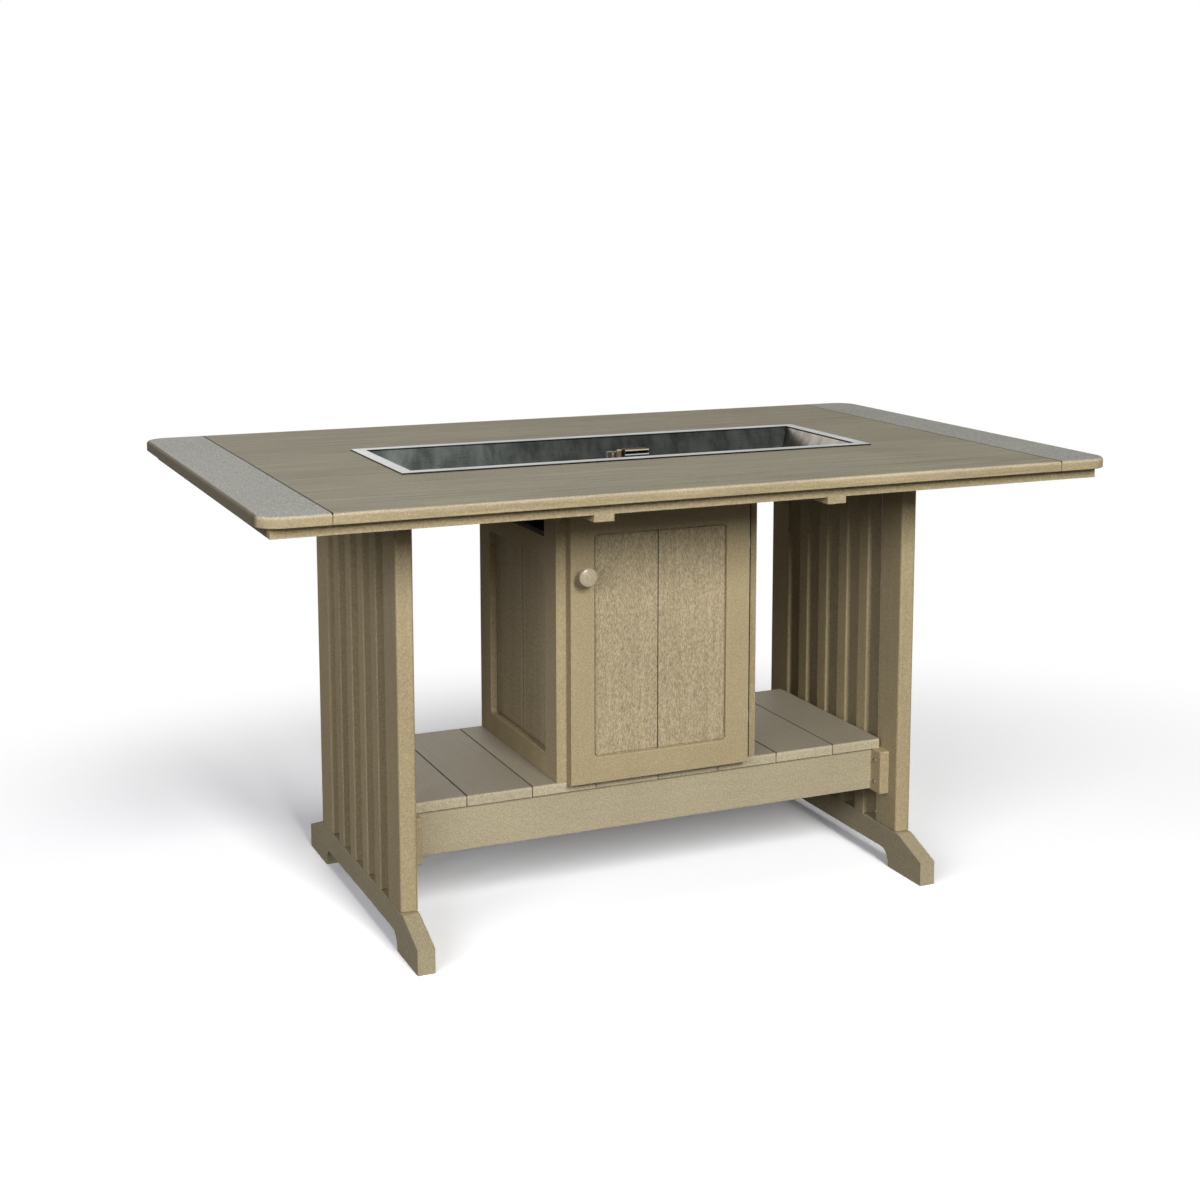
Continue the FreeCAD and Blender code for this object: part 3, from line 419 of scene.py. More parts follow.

# %% [markdown]
# ## A finish from the groups
#
# A finish joins both groups to a Principled shader, for boards that run one way. An upper face can
# have a colour of its own, and a band just under it, on the rounded edge, is painted paler: a
# painted highlight. On the top's boards and the shelf the upper colour is greyer, a painted sheen.
# That could be three materials on three sets of faces, with a hard line between them. One material
# that fades by height keeps the change soft.

# %% Lumber finish
TAN = (0.405, 0.326, 0.187, 1)
# Painted highlight: a paler tan for the band along the rounded upper edges.
EDGE_HIGHLIGHT_TAN = (0.53, 0.46, 0.32, 1)
# Painted shade: the dark put into gaps and seams between boards.
SEAM_SHADE = (0.03, 0.026, 0.018, 1)
LINE_RATE = (3.0, 85.0)
FACE_DEPTH = (0.0022, 0.0008)
EDGE_HIGHLIGHT_DEPTH = 0.009
SEAM_SHADE_REACH = (0.0014, 0.0026)
EDGE_SHINE = 0.05
EDGE_PALE = 0.38
LUMBER_BUMP = 0.0008


def rates(run, along, across):
    """How often a pattern changes in a metre on each axis, for a board that runs along one."""
    return tuple(along if axis == run else across for axis in "XYZ")


def lumber(name, run, colour=TAN, lines=0.10, flecks=0.10, speckle=0.30, pale=0.14,
           fleck_rate=(60.0, 260.0), row=None, shade=0.10, seams=0.0, relief=0.25,
           shine=EDGE_SHINE, rough=0.65, upper=None):
    """A lumber finish for boards that run along one axis.

    row is the axis, start and width of side-by-side boards, and seams is how much painted shade
    darkens the faces beside the seams between them. upper is an upper face's height, colour and
    fleck depth. Then only that face has the shine, and the edges have more pale grains."""
    material, tree, shader, place = new_material(name)
    if upper:
        height, upper_colour, upper_flecks = upper
        low, high = (height - depth for depth in FACE_DEPTH)
        level = split(tree, place)["Z"]
        on_top = spread(tree, level, low, high)
        # Painted highlight: a band just under the upper face, on the rounded edge, is painted
        # paler.
        edge_highlight = spread(tree, level, height - EDGE_HIGHLIGHT_DEPTH, high)
        colour = blend_colours(tree, edge_highlight, colour, EDGE_HIGHLIGHT_TAN)
        # The upper face's own colour, greyer: painted sheen.
        colour = blend_colours(tree, on_top, colour, upper_colour)
        flecks = calculate(tree, "MULTIPLY_ADD", on_top, upper_flecks - flecks, flecks)
        pale = calculate(tree, "MULTIPLY_ADD", on_top, pale - EDGE_PALE, EDGE_PALE)
        shine = calculate(tree, "MULTIPLY_ADD", on_top, shine - EDGE_SHINE, EDGE_SHINE)
    face = put(tree, "ShaderNodeGroup", {"node_tree": LUMBER}, Place=place, Color=colour,
               Line_Rate=rates(run, *LINE_RATE), Line_Depth=lines,
               Fleck_Rate=rates(run, *fleck_rate), Fleck_Depth=flecks,
               Speckle_Depth=speckle, Pale_Grains=pale, Shade_Depth=shade, Base_Roughness=rough)
    surface = face.outputs["Color"]
    if row:
        axis, start, width = row
        board = put(tree, "ShaderNodeGroup", {"node_tree": SHADE}, Start=start, Board_Width=width,
                    Position=split(tree, place)[axis])
        feed(tree, face.inputs["Shade"], board.outputs["Shade"])
        # Painted shade: the faces darken beside each seam, where the gaps between boards lie in
        # shade.
        seam_far = spread(tree, board.outputs["Seam Distance"], *SEAM_SHADE_REACH)
        seam_shaded = calculate(tree, "MULTIPLY", calculate(tree, "SUBTRACT", 1.0, seam_far), seams)
        if upper:
            seam_shaded = calculate(tree, "MULTIPLY", seam_shaded, on_top)
        surface = blend_colours(tree, seam_shaded, surface, SEAM_SHADE)
    bump = put(tree, "ShaderNodeBump", Strength=relief, Distance=LUMBER_BUMP,
               Height=face.outputs["Relief"])
    feed(tree, shader.inputs["Base Color"], surface)
    feed(tree, shader.inputs["Roughness"], face.outputs["Roughness"])
    feed(tree, shader.inputs["Normal"], bump.outputs[0])
    feed(tree, shader.inputs["Specular IOR Level"], shine)
    return material


print("lumber finishes can be made")

# %% [markdown]
# ## Tints
#
# Painted shade, painted reflections and a few real marks sit on a part of a piece: in a gap, inside
# the fire pan, on the spark guard, or on the faces that look one way. They could be painted by
# hand, which makes a picture to carry along. Here a few nodes are added to a finish. One tint fills
# a box in the piece's own coordinates, with a soft border, and another picks the faces that look
# along X.
# Both stay put from every side.

# %% Tints by place and by direction
BORDER = 0.0002
SHARP = (BORDER, BORDER, BORDER)
WIDE = 1.0  # farther out than any piece
DRIFT_RATE = (7.0, 7.0, 7.0)
X_TURN = (0.62, 0.8)
LEVEL_FLOOR = 0.02


def within(tree, position, low, high, soft):
    """1 between two places on an axis and 0 outside them, over a soft border."""
    above = spread(tree, position, low - soft, low + soft)
    return calculate(tree, "SUBTRACT", above, spread(tree, position, high - soft, high + soft))


def reopen(material):
    """A finish's tree, its colour input, what feeds that now, and the piece's coordinates."""
    tree = material.node_tree
    socket = tree.nodes["Principled BSDF"].inputs["Base Color"]
    return tree, socket, socket.links[0].from_socket, put(tree, "ShaderNodeTexCoord").outputs


def tint(material, colour, low, high, soft=SHARP, wander=0.0):
    """Tints a finish inside a box. Wander moves the borders about in X, so that they run unevenly.
    """
    tree, socket, before, own = reopen(material)
    axes = split(tree, own["Object"])
    cloud = noise(tree, own["Object"], DRIFT_RATE, detail=3.0, roughness=0.6)
    drift = calculate(tree, "SUBTRACT", cloud, 0.5)
    along = calculate(tree, "MULTIPLY_ADD", drift, wander, axes["X"])
    share = within(tree, along, low[0], high[0], soft[0])
    for index, axis in ((1, "Y"), (2, "Z")):
        inside = within(tree, axes[axis], low[index], high[index], soft[index])
        share = calculate(tree, "MULTIPLY", share, inside)
    feed(tree, socket, blend_colours(tree, share, before, colour))


def tint_facing_x(material, colour, high_z):
    """Tints the faces that look along X, either way, from the floor up to a height.

    X_TURN gives the share of X in a face's level direction at which the tint begins and is full.
    LEVEL_FLOOR keeps faces that look straight up or down out of it."""
    tree, socket, before, own = reopen(material)
    normal = split(tree, own["Normal"])
    along_x = calculate(tree, "ABSOLUTE", normal["X"])
    along_y = calculate(tree, "ADD", calculate(tree, "ABSOLUTE", normal["Y"]), LEVEL_FLOOR)
    facing = calculate(tree, "DIVIDE", along_x, calculate(tree, "ADD", along_x, along_y))
    below = within(tree, split(tree, own["Object"])["Z"], 0, high_z, BORDER)
    share = calculate(tree, "MULTIPLY", spread(tree, facing, *X_TURN), below)
    feed(tree, socket, blend_colours(tree, share, before, colour))


print("tints ready")

# %% [markdown]
# ## Boards of the top
#
# The boards of the top run along the table and the end boards run across it. Their upper faces are
# painted greyer than their edges, a painted sheen, the end boards' most of all, and those are also
# strongly flecked. A board is one piece, so its finish changes colour by height, just under the
# upper face. The edges that close the table's two ends are darker in the photograph than other
# faces turned that way, so painted shade darkens the faces that look along X. The strips under the
# edge and the cleats are sawn from the same stock.

# %% Finish the top
# Upper-face colours: their greyness is painted sheen.
SHEEN_GREY_TAN = (0.368, 0.332, 0.246, 1)
SHEEN_END_TAN = (0.390, 0.384, 0.336, 1)
# Painted shade for the faces that look along X at the table's ends.
PAINTED_SHADE_TAN = (0.135, 0.110, 0.066, 1)
FIELD_FLECKS = 0.12
END_FLECKS = 0.6
FIELD_BOARDS = 3
SEAM_SPILL = 0.0012
SEAM_DEPTH = 0.003
SEAM_WANDER = 0.002
top_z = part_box("end_board_left")[1].z


def row_of(node, axis, boards):
    """The axis, start and board width of boards that fill a node side by side."""
    low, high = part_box(node)
    index = "XYZ".index(axis)
    return axis, low[index], (high[index] - low[index]) / boards


def darken_end_seams(material):
    """Painted shade in the upper part of the gaps between the end boards and the boards that meet
    them.
    """
    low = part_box("field_boards_front")[1].x - SEAM_SPILL
    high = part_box("end_board_right")[0].x + SEAM_SPILL
    for left, right in ((low, high), (-high, -low)):
        tint(material, SEAM_SHADE, (left, -WIDE, top_z - SEAM_DEPTH), (right, WIDE, WIDE),
             wander=SEAM_WANDER)


for node in ("field_boards_front", "field_boards_back", "field_boards_short"):
    row = row_of(node, "Y", FIELD_BOARDS)
    # Painted sheen: the upper faces are painted greyer than their edges.
    field_finish = lumber("top_" + node, "X", lines=0.32, row=row, shade=0.08, shine=0.08,
                          upper=(top_z, SHEEN_GREY_TAN, FIELD_FLECKS))
    darken_end_seams(field_finish)
    finish_nodes(field_finish, node)
    print(node, "are", round(row[2], 3), "m wide")
# Painted sheen, stronger still on the end boards' upper faces.
end_finish = lumber("end_boards", "Y", lines=0.06, fleck_rate=(105.0, 430.0), shine=0.08, rough=0.5,
                    upper=(top_z, SHEEN_END_TAN, END_FLECKS))
# Painted shade: the end boards' faces that look along X are darkened.
tint_facing_x(end_finish, PAINTED_SHADE_TAN, WIDE)
darken_end_seams(end_finish)
finish_nodes(end_finish, "end_board_left", "end_board_right")
edge_long = lumber("edge_strips_long", "X", speckle=0.34, pale=EDGE_PALE)
finish_nodes(edge_long, "apron_front", "apron_back")
edge_short = lumber("edge_strips_short", "Y", speckle=0.34, pale=EDGE_PALE)
# Painted shade on the end strips' faces that look along X.
tint_facing_x(edge_short, PAINTED_SHADE_TAN, WIDE)
finish_nodes(edge_short, "apron_ends")
cleat_finish = lumber("cleats", "Y")
finish_nodes(cleat_finish, "top_cleats", "trestle_top_plates")

# %% [markdown]
# ## Trestles, stretchers and shelf
#
# Posts and spindles run upright, feet and shelf boards run from front to back, and stretchers run
# along the table. Each gets the lumber finish turned to its own run, with a fine speckle that shows
# more than the grain. One function makes all of them, so that they stay alike.

# %% Finish the stand
LOW_TAN = (0.392, 0.330, 0.208, 1)
STRETCHER_TAN = (0.425, 0.362, 0.235, 1)
PALE_TAN = (0.46, 0.395, 0.265, 1)
# The shelf's upper-face colour: its greyness is painted sheen.
SHEEN_SHELF_TAN = (0.285, 0.246, 0.172, 1)
SHELF_FLECKS = 0.10
SPINDLE_ROW = ("Y", -0.184, 0.092)
SHELF_PITCH = 0.143
SHELF_ROW = ("X", -3 * SHELF_PITCH, SHELF_PITCH)
shelf_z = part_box("shelf_boards")[1].z
post_finish = lumber("posts", "Z", lines=0.06, flecks=0.06)
finish_nodes(post_finish, "left_posts", "right_posts", "stretcher_cleats")
spindle_finish = lumber("spindles", "Z", lines=0.06, flecks=0.06, row=SPINDLE_ROW, shade=0.08)
finish_nodes(spindle_finish, "left_spindles", "right_spindles")
foot_finish = lumber("feet", "Y", colour=LOW_TAN, lines=0.05, flecks=0.06)
finish_nodes(foot_finish, "left_foot", "right_foot")
stretcher_finish = lumber("stretchers", "X", colour=STRETCHER_TAN, lines=0.05, flecks=0.06,
                          speckle=0.36)
finish_nodes(stretcher_finish, "front_stretcher", "back_stretcher")
# Painted sheen on the shelf's upper face, and painted shade beside its seams.
shelf_finish = lumber("shelf_boards", "Y", colour=PALE_TAN, lines=0.06, row=SHELF_ROW, shade=0.12,
                      seams=0.9, shine=0.6, rough=0.5, upper=(shelf_z, SHEEN_SHELF_TAN, SHELF_FLECKS))
finish_nodes(shelf_finish, "shelf_boards")
print("stand finished")

# %% [markdown]
# ## Cabinet and door
#
# The frames of the cabinet and door are planed smooth and only speckled. A strip of the right-hand
# frame's front edge, next to the door's hinges, is darkened with painted shade for the shadowed gap
# beside the door. The panels are brushed along the grain: short pale and dark streaks stand
# upright, so the fleck part of the finish is strong there. The two boards of a panel meet in a
# seam, drawn as a thin line of painted shade.

# %% Finish the cabinet
BRUSHED_TAN = (0.405, 0.330, 0.203, 1)
SHADE_LINE_WIDTH = 0.0078
SHADE_LINE_SOFT = 0.0008
SEAM_HALF = 0.001
PANEL_SEAMS = {"door_panel": ("X", -0.009), "left_side_panel": ("Y", 0.0),
               "right_side_panel": ("Y", 0.0), "cabinet_back_panel": ("X", 0.0)}
frame_up = lumber("frame_uprights", "Z", lines=0.04, flecks=0.05)
finish_nodes(frame_up, "left_side_frame", "cabinet_back_frame", "front_frame", "door_latch_stile",
             "door_hinge_stile")
frame_across = lumber("frame_rails", "X", lines=0.04, flecks=0.05)
finish_nodes(frame_across, "door_bottom_rail", "door_top_rail")
# Painted shade: a dark strip on the right-hand frame's front edge, beside the door, stands in for
# the shadowed gap there.
gap_shaded = lumber("sheltered_uprights", "Z", lines=0.04, flecks=0.05)
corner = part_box("right_side_frame")[0]
tint(gap_shaded, SEAM_SHADE, (corner.x - BORDER, corner.y - BORDER, 0),
     (corner.x + SHADE_LINE_WIDTH, corner.y + BORDER, WIDE), soft=(SHADE_LINE_SOFT, BORDER, BORDER))
finish_nodes(gap_shaded, "right_side_frame")
for node, (axis, seam) in PANEL_SEAMS.items():
    brushed = lumber("brushed_" + node, "Z", colour=BRUSHED_TAN, flecks=0.66,
                     fleck_rate=(160.0, 760.0), lines=0.16, speckle=0.2, pale=0.10, relief=0.5)
    seam_low = [-WIDE, -WIDE, 0.0]
    seam_high = [WIDE, WIDE, WIDE]
    seam_low["XYZ".index(axis)] = seam - SEAM_HALF
    seam_high["XYZ".index(axis)] = seam + SEAM_HALF
    # Painted shade: a thin dark line down the seam between a panel's two boards.
    tint(brushed, SEAM_SHADE, seam_low, seam_high)
    finish_nodes(brushed, node)
print("cabinet finished")

# %% [markdown]
# ## Brushed metal
#
# Sheet is brushed and tube is drawn, so the scratches in metal run one way, and handling leaves
# slow smudges. Anisotropic shading could stretch the highlights instead, but it needs a direction
# at every point. A noise that is stretched about a hundred times along one axis draws the scratches
# themselves, as roughness and relief, and works on any shape.

# %% Brushed metal group
SCRATCH_SHARE = 0.6
SMUDGE_SHARE = 0.4
METAL_BUMP = 0.0004


def make_brushed_group():
    """Fine scratches along one axis and slow smudges, for sheet metal."""
    group, given, result = new_group(
        "Brushed Sheet",
        [("Place", VECTOR, (0, 0, 0)), ("Scratch Rate", VECTOR, (8, 900, 900)),
         ("Smudge Rate", NUMBER, 9.0)],
        [("Scratches", NUMBER), ("Smudges", NUMBER)])
    place = given["Place"]
    scratches = pattern(group, place, given["Scratch Rate"], detail=3.0, roughness=0.7)
    rate = given["Smudge Rate"]
    smudges = pattern(group, place, join(group, X=rate, Y=rate, Z=rate), detail=4.0, roughness=0.6)
    feed(group, result["Scratches"], scratches)
    feed(group, result["Smudges"], smudges)
    return group


BRUSHED = make_brushed_group()


def metal(name, colour, run="X", rough=(0.22, 0.40), smudge=0.12, relief=0.08,
          scratch_rate=(8.0, 900.0)):
    """A brushed or drawn metal finish. rough is its least and greatest roughness."""
    material, tree, shader, place = new_material(name)
    sheet = put(tree, "ShaderNodeGroup", {"node_tree": BRUSHED}, Place=place,
                Scratch_Rate=rates(run, *scratch_rate)).outputs
    low, high = rough
    roughness = low
    for part, share in (("Scratches", SCRATCH_SHARE), ("Smudges", SMUDGE_SHARE)):
        roughness = calculate(tree, "MULTIPLY_ADD", sheet[part], (high - low) * share, roughness)
    feed(tree, shader.inputs["Roughness"], roughness)
    dull = tuple(channel * (1 - smudge) for channel in colour[:3]) + (1,)
    feed(tree, shader.inputs["Base Color"], blend_colours(tree, sheet["Smudges"], colour, dull))
    bump = put(tree, "ShaderNodeBump", Strength=relief, Distance=METAL_BUMP,
               Height=sheet["Scratches"])
    feed(tree, shader.inputs["Normal"], bump.outputs[0])
    shader.inputs["Metallic"].default_value = 1.0
    return material


def stain(material, rate, depth, high_z):
    """Lightens and darkens a finish in blotches, below a height."""
    tree, socket, before, own = reopen(material)
    blotches = pattern(tree, own["Object"], rate, detail=5.0, roughness=0.65)
    swing = calculate(tree, "MULTIPLY", calculate(tree, "SUBTRACT", blotches, 0.5), depth)
    below = within(tree, split(tree, own["Object"])["Z"], 0, high_z, BORDER)
    level = calculate(tree, "MULTIPLY_ADD", swing, below, 1.0)
    feed(tree, socket, scale(tree, before, level))


print("group", BRUSHED.name, "has", len(BRUSHED.nodes), "nodes")

# %% [markdown]
# ## The fire pan
#
# The pan is stainless sheet, brushed along its length. Its flange is clean and bright. Inside, the
# sheet is painted dark, darkest in a band around the igniter, a painted reflection of dark
# surroundings, while the end walls are painted paler and warmer, also a painted reflection, and
# stains run down all the walls. Three tints and a stain do this, one over the other. The flange is
# left out of them by its height, and the end walls are told from the long ones by the way they
# face.

# %% Finish the pan
FLANGE_STEEL = (0.40, 0.41, 0.39, 1)
# Painted reflections inside the pan: warmer on the end walls, dark elsewhere, darkest in a band.
WARM_REFLECTION_STEEL = (0.172, 0.154, 0.130, 1)
DARK_REFLECTION_STEEL = (0.038, 0.042, 0.0385, 1)
SOOT_AND_DARK_REFLECTION = (0.0280, 0.0295, 0.0270, 1)
DARK_BAND_FROM = -0.17
DARK_BAND_TO = 0.36
DARK_BAND_SOFT = 0.08
DARK_BAND_WANDER = 0.25
STAIN_RATE = (26.0, 26.0, 7.0)
STAIN_DEPTH = 0.8
RIM_SKIN = 0.0005
rim_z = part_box("fire_pan")[1].z - RIM_SKIN
pan_finish = metal("pan_steel", FLANGE_STEEL, rough=(0.24, 0.42), smudge=0.2)
# Painted reflection: the sheet below the rim is dark, and darker still in a band around the
# igniter.
tint(pan_finish, DARK_REFLECTION_STEEL, (-WIDE, -WIDE, 0), (WIDE, WIDE, rim_z))
tint(pan_finish, SOOT_AND_DARK_REFLECTION, (DARK_BAND_FROM, -WIDE, 0), (DARK_BAND_TO, WIDE, rim_z),
     soft=(DARK_BAND_SOFT, BORDER, BORDER), wander=DARK_BAND_WANDER)
# Painted reflection: the end walls are painted paler and warmer.
tint_facing_x(pan_finish, WARM_REFLECTION_STEEL, top_z)
stain(pan_finish, STAIN_RATE, STAIN_DEPTH, rim_z)
finish_nodes(pan_finish, "fire_pan")
print("pan finished up to", round(rim_z, 4))

# %% [markdown]
# ## The spark guard
#
# The guard over the spark is sooty, and only its lip and its bar are clean. Soot hides the metal
# under it, so the finish is made matt and no longer metallic. The lip and the bar lie at the very
# front, where two thin boxes pick them by their height.

# %% Finish the spark guard
LIP_TAN = (0.55, 0.43, 0.26, 1)
BAR_GREY = (0.42, 0.45, 0.46, 1)
LIP_HEIGHT = 0.0028
BAR_HEIGHTS = (0.0220, 0.0247)
FRONT_SKIN = 0.0004
SOOT_SHINE = 0.1
guard_low, guard_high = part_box("spark_guard")
guard_front = guard_low.y + FRONT_SKIN
bar_low, bar_high = (guard_low.z + height for height in BAR_HEIGHTS)
# The guard's dark is soot; the same colour is a painted reflection inside the pan.
guard_finish = metal("guard_steel", SOOT_AND_DARK_REFLECTION, rough=(0.5, 0.7))
sooty = guard_finish.node_tree.nodes["Principled BSDF"].inputs
sooty["Metallic"].default_value = 0.0
sooty["Specular IOR Level"].default_value = SOOT_SHINE
tint(guard_finish, LIP_TAN, (-WIDE, -WIDE, guard_high.z - LIP_HEIGHT), (WIDE, guard_front, WIDE))
tint(guard_finish, BAR_GREY, (-WIDE, -WIDE, bar_low), (WIDE, guard_front, bar_high))
finish_nodes(guard_finish, "spark_guard")
print("guard finished, with its lip above", round(guard_high.z - LIP_HEIGHT, 4))

# %% [markdown]
# ## Other metals
#
# The burner, hinges and screws are steel, the gas fittings are brass, the sensor and its lead are
# copper, and the gas tube is aluminium. They differ in colour, roughness, smudges and the way that
# the metal was drawn, so all are settings of one function.

# %% Finish the other metals
STEEL = (0.72, 0.72, 0.70, 1)
BURNER_STEEL = (0.33, 0.32, 0.30, 1)
SCREW_STEEL = (0.27, 0.26, 0.24, 1)
BRASS = (0.64, 0.47, 0.20, 1)
COPPER = (0.62, 0.28, 0.17, 1)
ALUMINIUM = (0.72, 0.73, 0.74, 1)
burner_steel = metal("burner_steel", BURNER_STEEL, rough=(0.3, 0.5), smudge=0.4)
finish_nodes(burner_steel, "burner_tube", "burner_saddles", "burner_locknut")
bright_steel = metal("bright_steel", STEEL, rough=(0.18, 0.34))
finish_nodes(bright_steel, "igniter_bracket", "valve_stem", "hinge_frame_leaves",
             "hinge_door_leaves", "hinge_pins", "strike_plate")
panel_steel = metal("panel_steel", FLANGE_STEEL, rough=(0.3, 0.45))
finish_nodes(panel_steel, "control_panel")
screw_steel = metal("screw_steel", SCREW_STEEL, rough=(0.35, 0.5))
finish_nodes(screw_steel, "cleat_screws", "frame_screws")
brass = metal("machined_brass", BRASS, run="Z", rough=(0.2, 0.36))
finish_nodes(brass, "flame_collector", "gas_valve", "gas_inlet_fitting")
copper = metal("bare_copper", COPPER, run="Z", rough=(0.25, 0.45))
finish_nodes(copper, "thermocouple", "thermocouple_lead")
aluminium = metal("drawn_aluminium", ALUMINIUM, run="Y", rough=(0.25, 0.4))
finish_nodes(aluminium, "gas_tube")
print("metals finished")

# %% [markdown]
# ## Moulded plastic, ceramic and rubber
#
# The gas knob, the igniter and the catch are black moulded plastic with a fine spark-eroded
# texture. The door's knob is turned from the lumber's own plastic and polished, so it is glossy and
# only faintly speckled. Such grain is too fine to model, so a noise in the material stands for it.

# %% Finish the small parts
BLACK = (0.018, 0.018, 0.019, 1)
BUTTON_BLACK = (0.022, 0.022, 0.023, 1)
RUBBER_BLACK = (0.02, 0.02, 0.021, 1)
CERAMIC = (0.78, 0.75, 0.68, 1)
KNOB_TAN = (0.37, 0.308, 0.198, 1)
GRAIN_ROUGHNESS = 0.1
MOULDED_BUMP = 0.0002
COAT_ROUGHNESS = 0.12


def moulded(name, colour, rough, grain_rate=1500.0, relief=0.12, contrast=0.12, coat=0.0):
    """Plastic, rubber or glaze with a fine even grain."""
    material, tree, shader, place = new_material(name)
    grain = pattern(tree, place, (grain_rate,) * 3, detail=2.0, roughness=0.6)
    light = tuple(min(1.0, channel * (1 + contrast)) for channel in colour[:3]) + (1,)
    feed(tree, shader.inputs["Base Color"], blend_colours(tree, grain, colour, light))
    roughness = calculate(tree, "MULTIPLY_ADD", grain, GRAIN_ROUGHNESS, rough)
    feed(tree, shader.inputs["Roughness"], roughness)
    bump = put(tree, "ShaderNodeBump", Strength=relief, Distance=MOULDED_BUMP, Height=grain)
    feed(tree, shader.inputs["Normal"], bump.outputs[0])
    shader.inputs["Coat Weight"].default_value = coat
    shader.inputs["Coat Roughness"].default_value = COAT_ROUGHNESS
    return material


black_plastic = moulded("black_plastic", BLACK, rough=0.42)
finish_nodes(black_plastic, "control_knob", "igniter_case", "magnet_catch")
finish_nodes(moulded("button_plastic", BUTTON_BLACK, rough=0.3), "igniter_button")
finish_nodes(moulded("glazed_ceramic", CERAMIC, rough=0.18, coat=0.5), "spark_electrode")
finish_nodes(moulded("lead_rubber", RUBBER_BLACK, rough=0.55), "ignition_lead")
knob_finish = moulded("polished_knob", KNOB_TAN, rough=0.25, grain_rate=450.0, relief=0.08,
                      contrast=0.45, coat=0.3)
finish_nodes(knob_finish, "door_knob")
print("small parts finished")

# %% [markdown]
# ## Helpers for Geometry Nodes
#
# What repeats is grown by Geometry Nodes: one shape, a set of points, and a rule for turning each
# copy. The result is turned into a plain mesh, because copies that exist only inside a modifier are
# lost when the model is saved for other programs. A modifier's inputs are set by their identifiers,
# before Blender works the modifier out.

# %% Geometry Nodes helpers
def new_growth(name, inputs):
    """An empty Geometry Nodes tree. Returns it, its inner inputs and their identifiers."""
    tree = bpy.data.node_groups.new(name, "GeometryNodeTree")
    tree.is_modifier = True
    sockets = tree.interface
    sockets.new_socket("Geometry", in_out="OUTPUT", socket_type="NodeSocketGeometry")
    keys = {}
    for label, kind in inputs:
        keys[label] = sockets.new_socket(label, in_out="INPUT", socket_type=kind).identifier
    return tree, tree.nodes.new("NodeGroupInput").outputs, keys


def close_growth(tree, geometry, material):
    """Ends a tree: real copies, with their material."""
    real = put(tree, "GeometryNodeRealizeInstances", Geometry=geometry)
    dressed = put(tree, "GeometryNodeSetMaterial", Geometry=real.outputs[0], Material=material)
    feed(tree, tree.nodes.new("NodeGroupOutput").inputs[0], dressed.outputs[0])


def grow(name, tree, keys, values, start_mesh):
    """Works a tree out on a mesh and returns the result as a plain object at the origin."""
    holder = bpy.data.objects.new(name + "_holder", start_mesh)
    scene.collection.objects.link(holder)
    modifier = holder.modifiers.new("grow", "NODES")
    modifier.node_group = tree
    for label, value in values.items():
        modifier[keys[label]] = value
    bpy.context.view_layer.update()
    worked_out = holder.evaluated_get(bpy.context.evaluated_depsgraph_get())
    mesh = bpy.data.meshes.new_from_object(worked_out)
    mesh.name = name
    holder.modifiers.remove(modifier)
    bpy.data.objects.remove(holder)
    piece = bpy.data.objects.new(name, mesh)
    scene.collection.objects.link(piece)
    print(name, "has", len(mesh.polygons), "faces")
    return piece


print("Geometry Nodes helpers ready")

# %% [markdown]
# ## Ports of the burner
#
# Gas leaves the burner tube through two rows of small drilled ports that lean away from its top.
# Drilling a hundred holes in a mesh costs many faces for little to see, so each port is a small
# dark plug, painted shade for the hole's shaded inside, with a bevelled rim that sits in the tube's
# surface. Two straight rows of points carry the copies, turned about the tube's own axis.

# %% Grow the burner ports
# Painted shade for the insides of the ports' holes.
PORT_SHADE_BLACK = (0.012, 0.011, 0.010, 1)
PORT_COUNT = 51
PORT_ROW = 0.70
PORT_RADIUS = 0.0013
PORT_FLARE = 1.3
PORT_SIDES = 10
PORT_LEAN = math.radians(38)
PORT_PROUD = 0.00025
TUBE_RADIUS = 0.0127
# Painted shade: the ports' dark plugs stand in for the shaded holes.
port_shade = moulded("port_shade", PORT_SHADE_BLACK, rough=0.7)
tree, given, keys = new_growth("Burner Ports", [
    ("Geometry", "NodeSocketGeometry"), ("Port Count", "NodeSocketInt"), ("Row Length", NUMBER),
    ("Tube Radius", NUMBER), ("Port Radius", NUMBER), ("Port Lean", NUMBER),
    ("Axis Height", NUMBER), ("Material", "NodeSocketMaterial")])
half = calculate(tree, "MULTIPLY", given["Row Length"], 0.5)
row_start = join(tree, X=calculate(tree, "MULTIPLY", half, -1.0))
line = put(tree, "GeometryNodeMeshLine", {"mode": "END_POINTS"}, Count=given["Port Count"],
           Start_Location=row_start, Offset=join(tree, X=half))
plug = put(tree, "GeometryNodeMeshCone", Vertices=PORT_SIDES, Radius_Top=given["Port Radius"],
           Radius_Bottom=calculate(tree, "MULTIPLY", given["Port Radius"], PORT_FLARE),
           Depth=2 * PORT_PROUD)
lift = join(tree, Z=calculate(tree, "SUBTRACT", given["Tube Radius"], PORT_PROUD))
plug = put(tree, "GeometryNodeTransform", Geometry=plug.outputs["Mesh"], Translation=lift)
rows = tree.nodes.new("GeometryNodeJoinGeometry")
for side in (-1.0, 1.0):
    lean = join(tree, X=calculate(tree, "MULTIPLY", given["Port Lean"], side))
    turned = put(tree, "FunctionNodeEulerToRotation", Euler=lean).outputs[0]
    copies = put(tree, "GeometryNodeInstanceOnPoints", Points=line.outputs["Mesh"],
                 Instance=plug.outputs[0], Rotation=turned)
    feed(tree, rows.inputs[0], copies.outputs[0])
moved = put(tree, "GeometryNodeTransform", Geometry=rows.outputs[0],
            Translation=join(tree, Z=given["Axis Height"]))
close_growth(tree, moved.outputs[0], given["Material"])
tube_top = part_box("burner_tube")[1].z
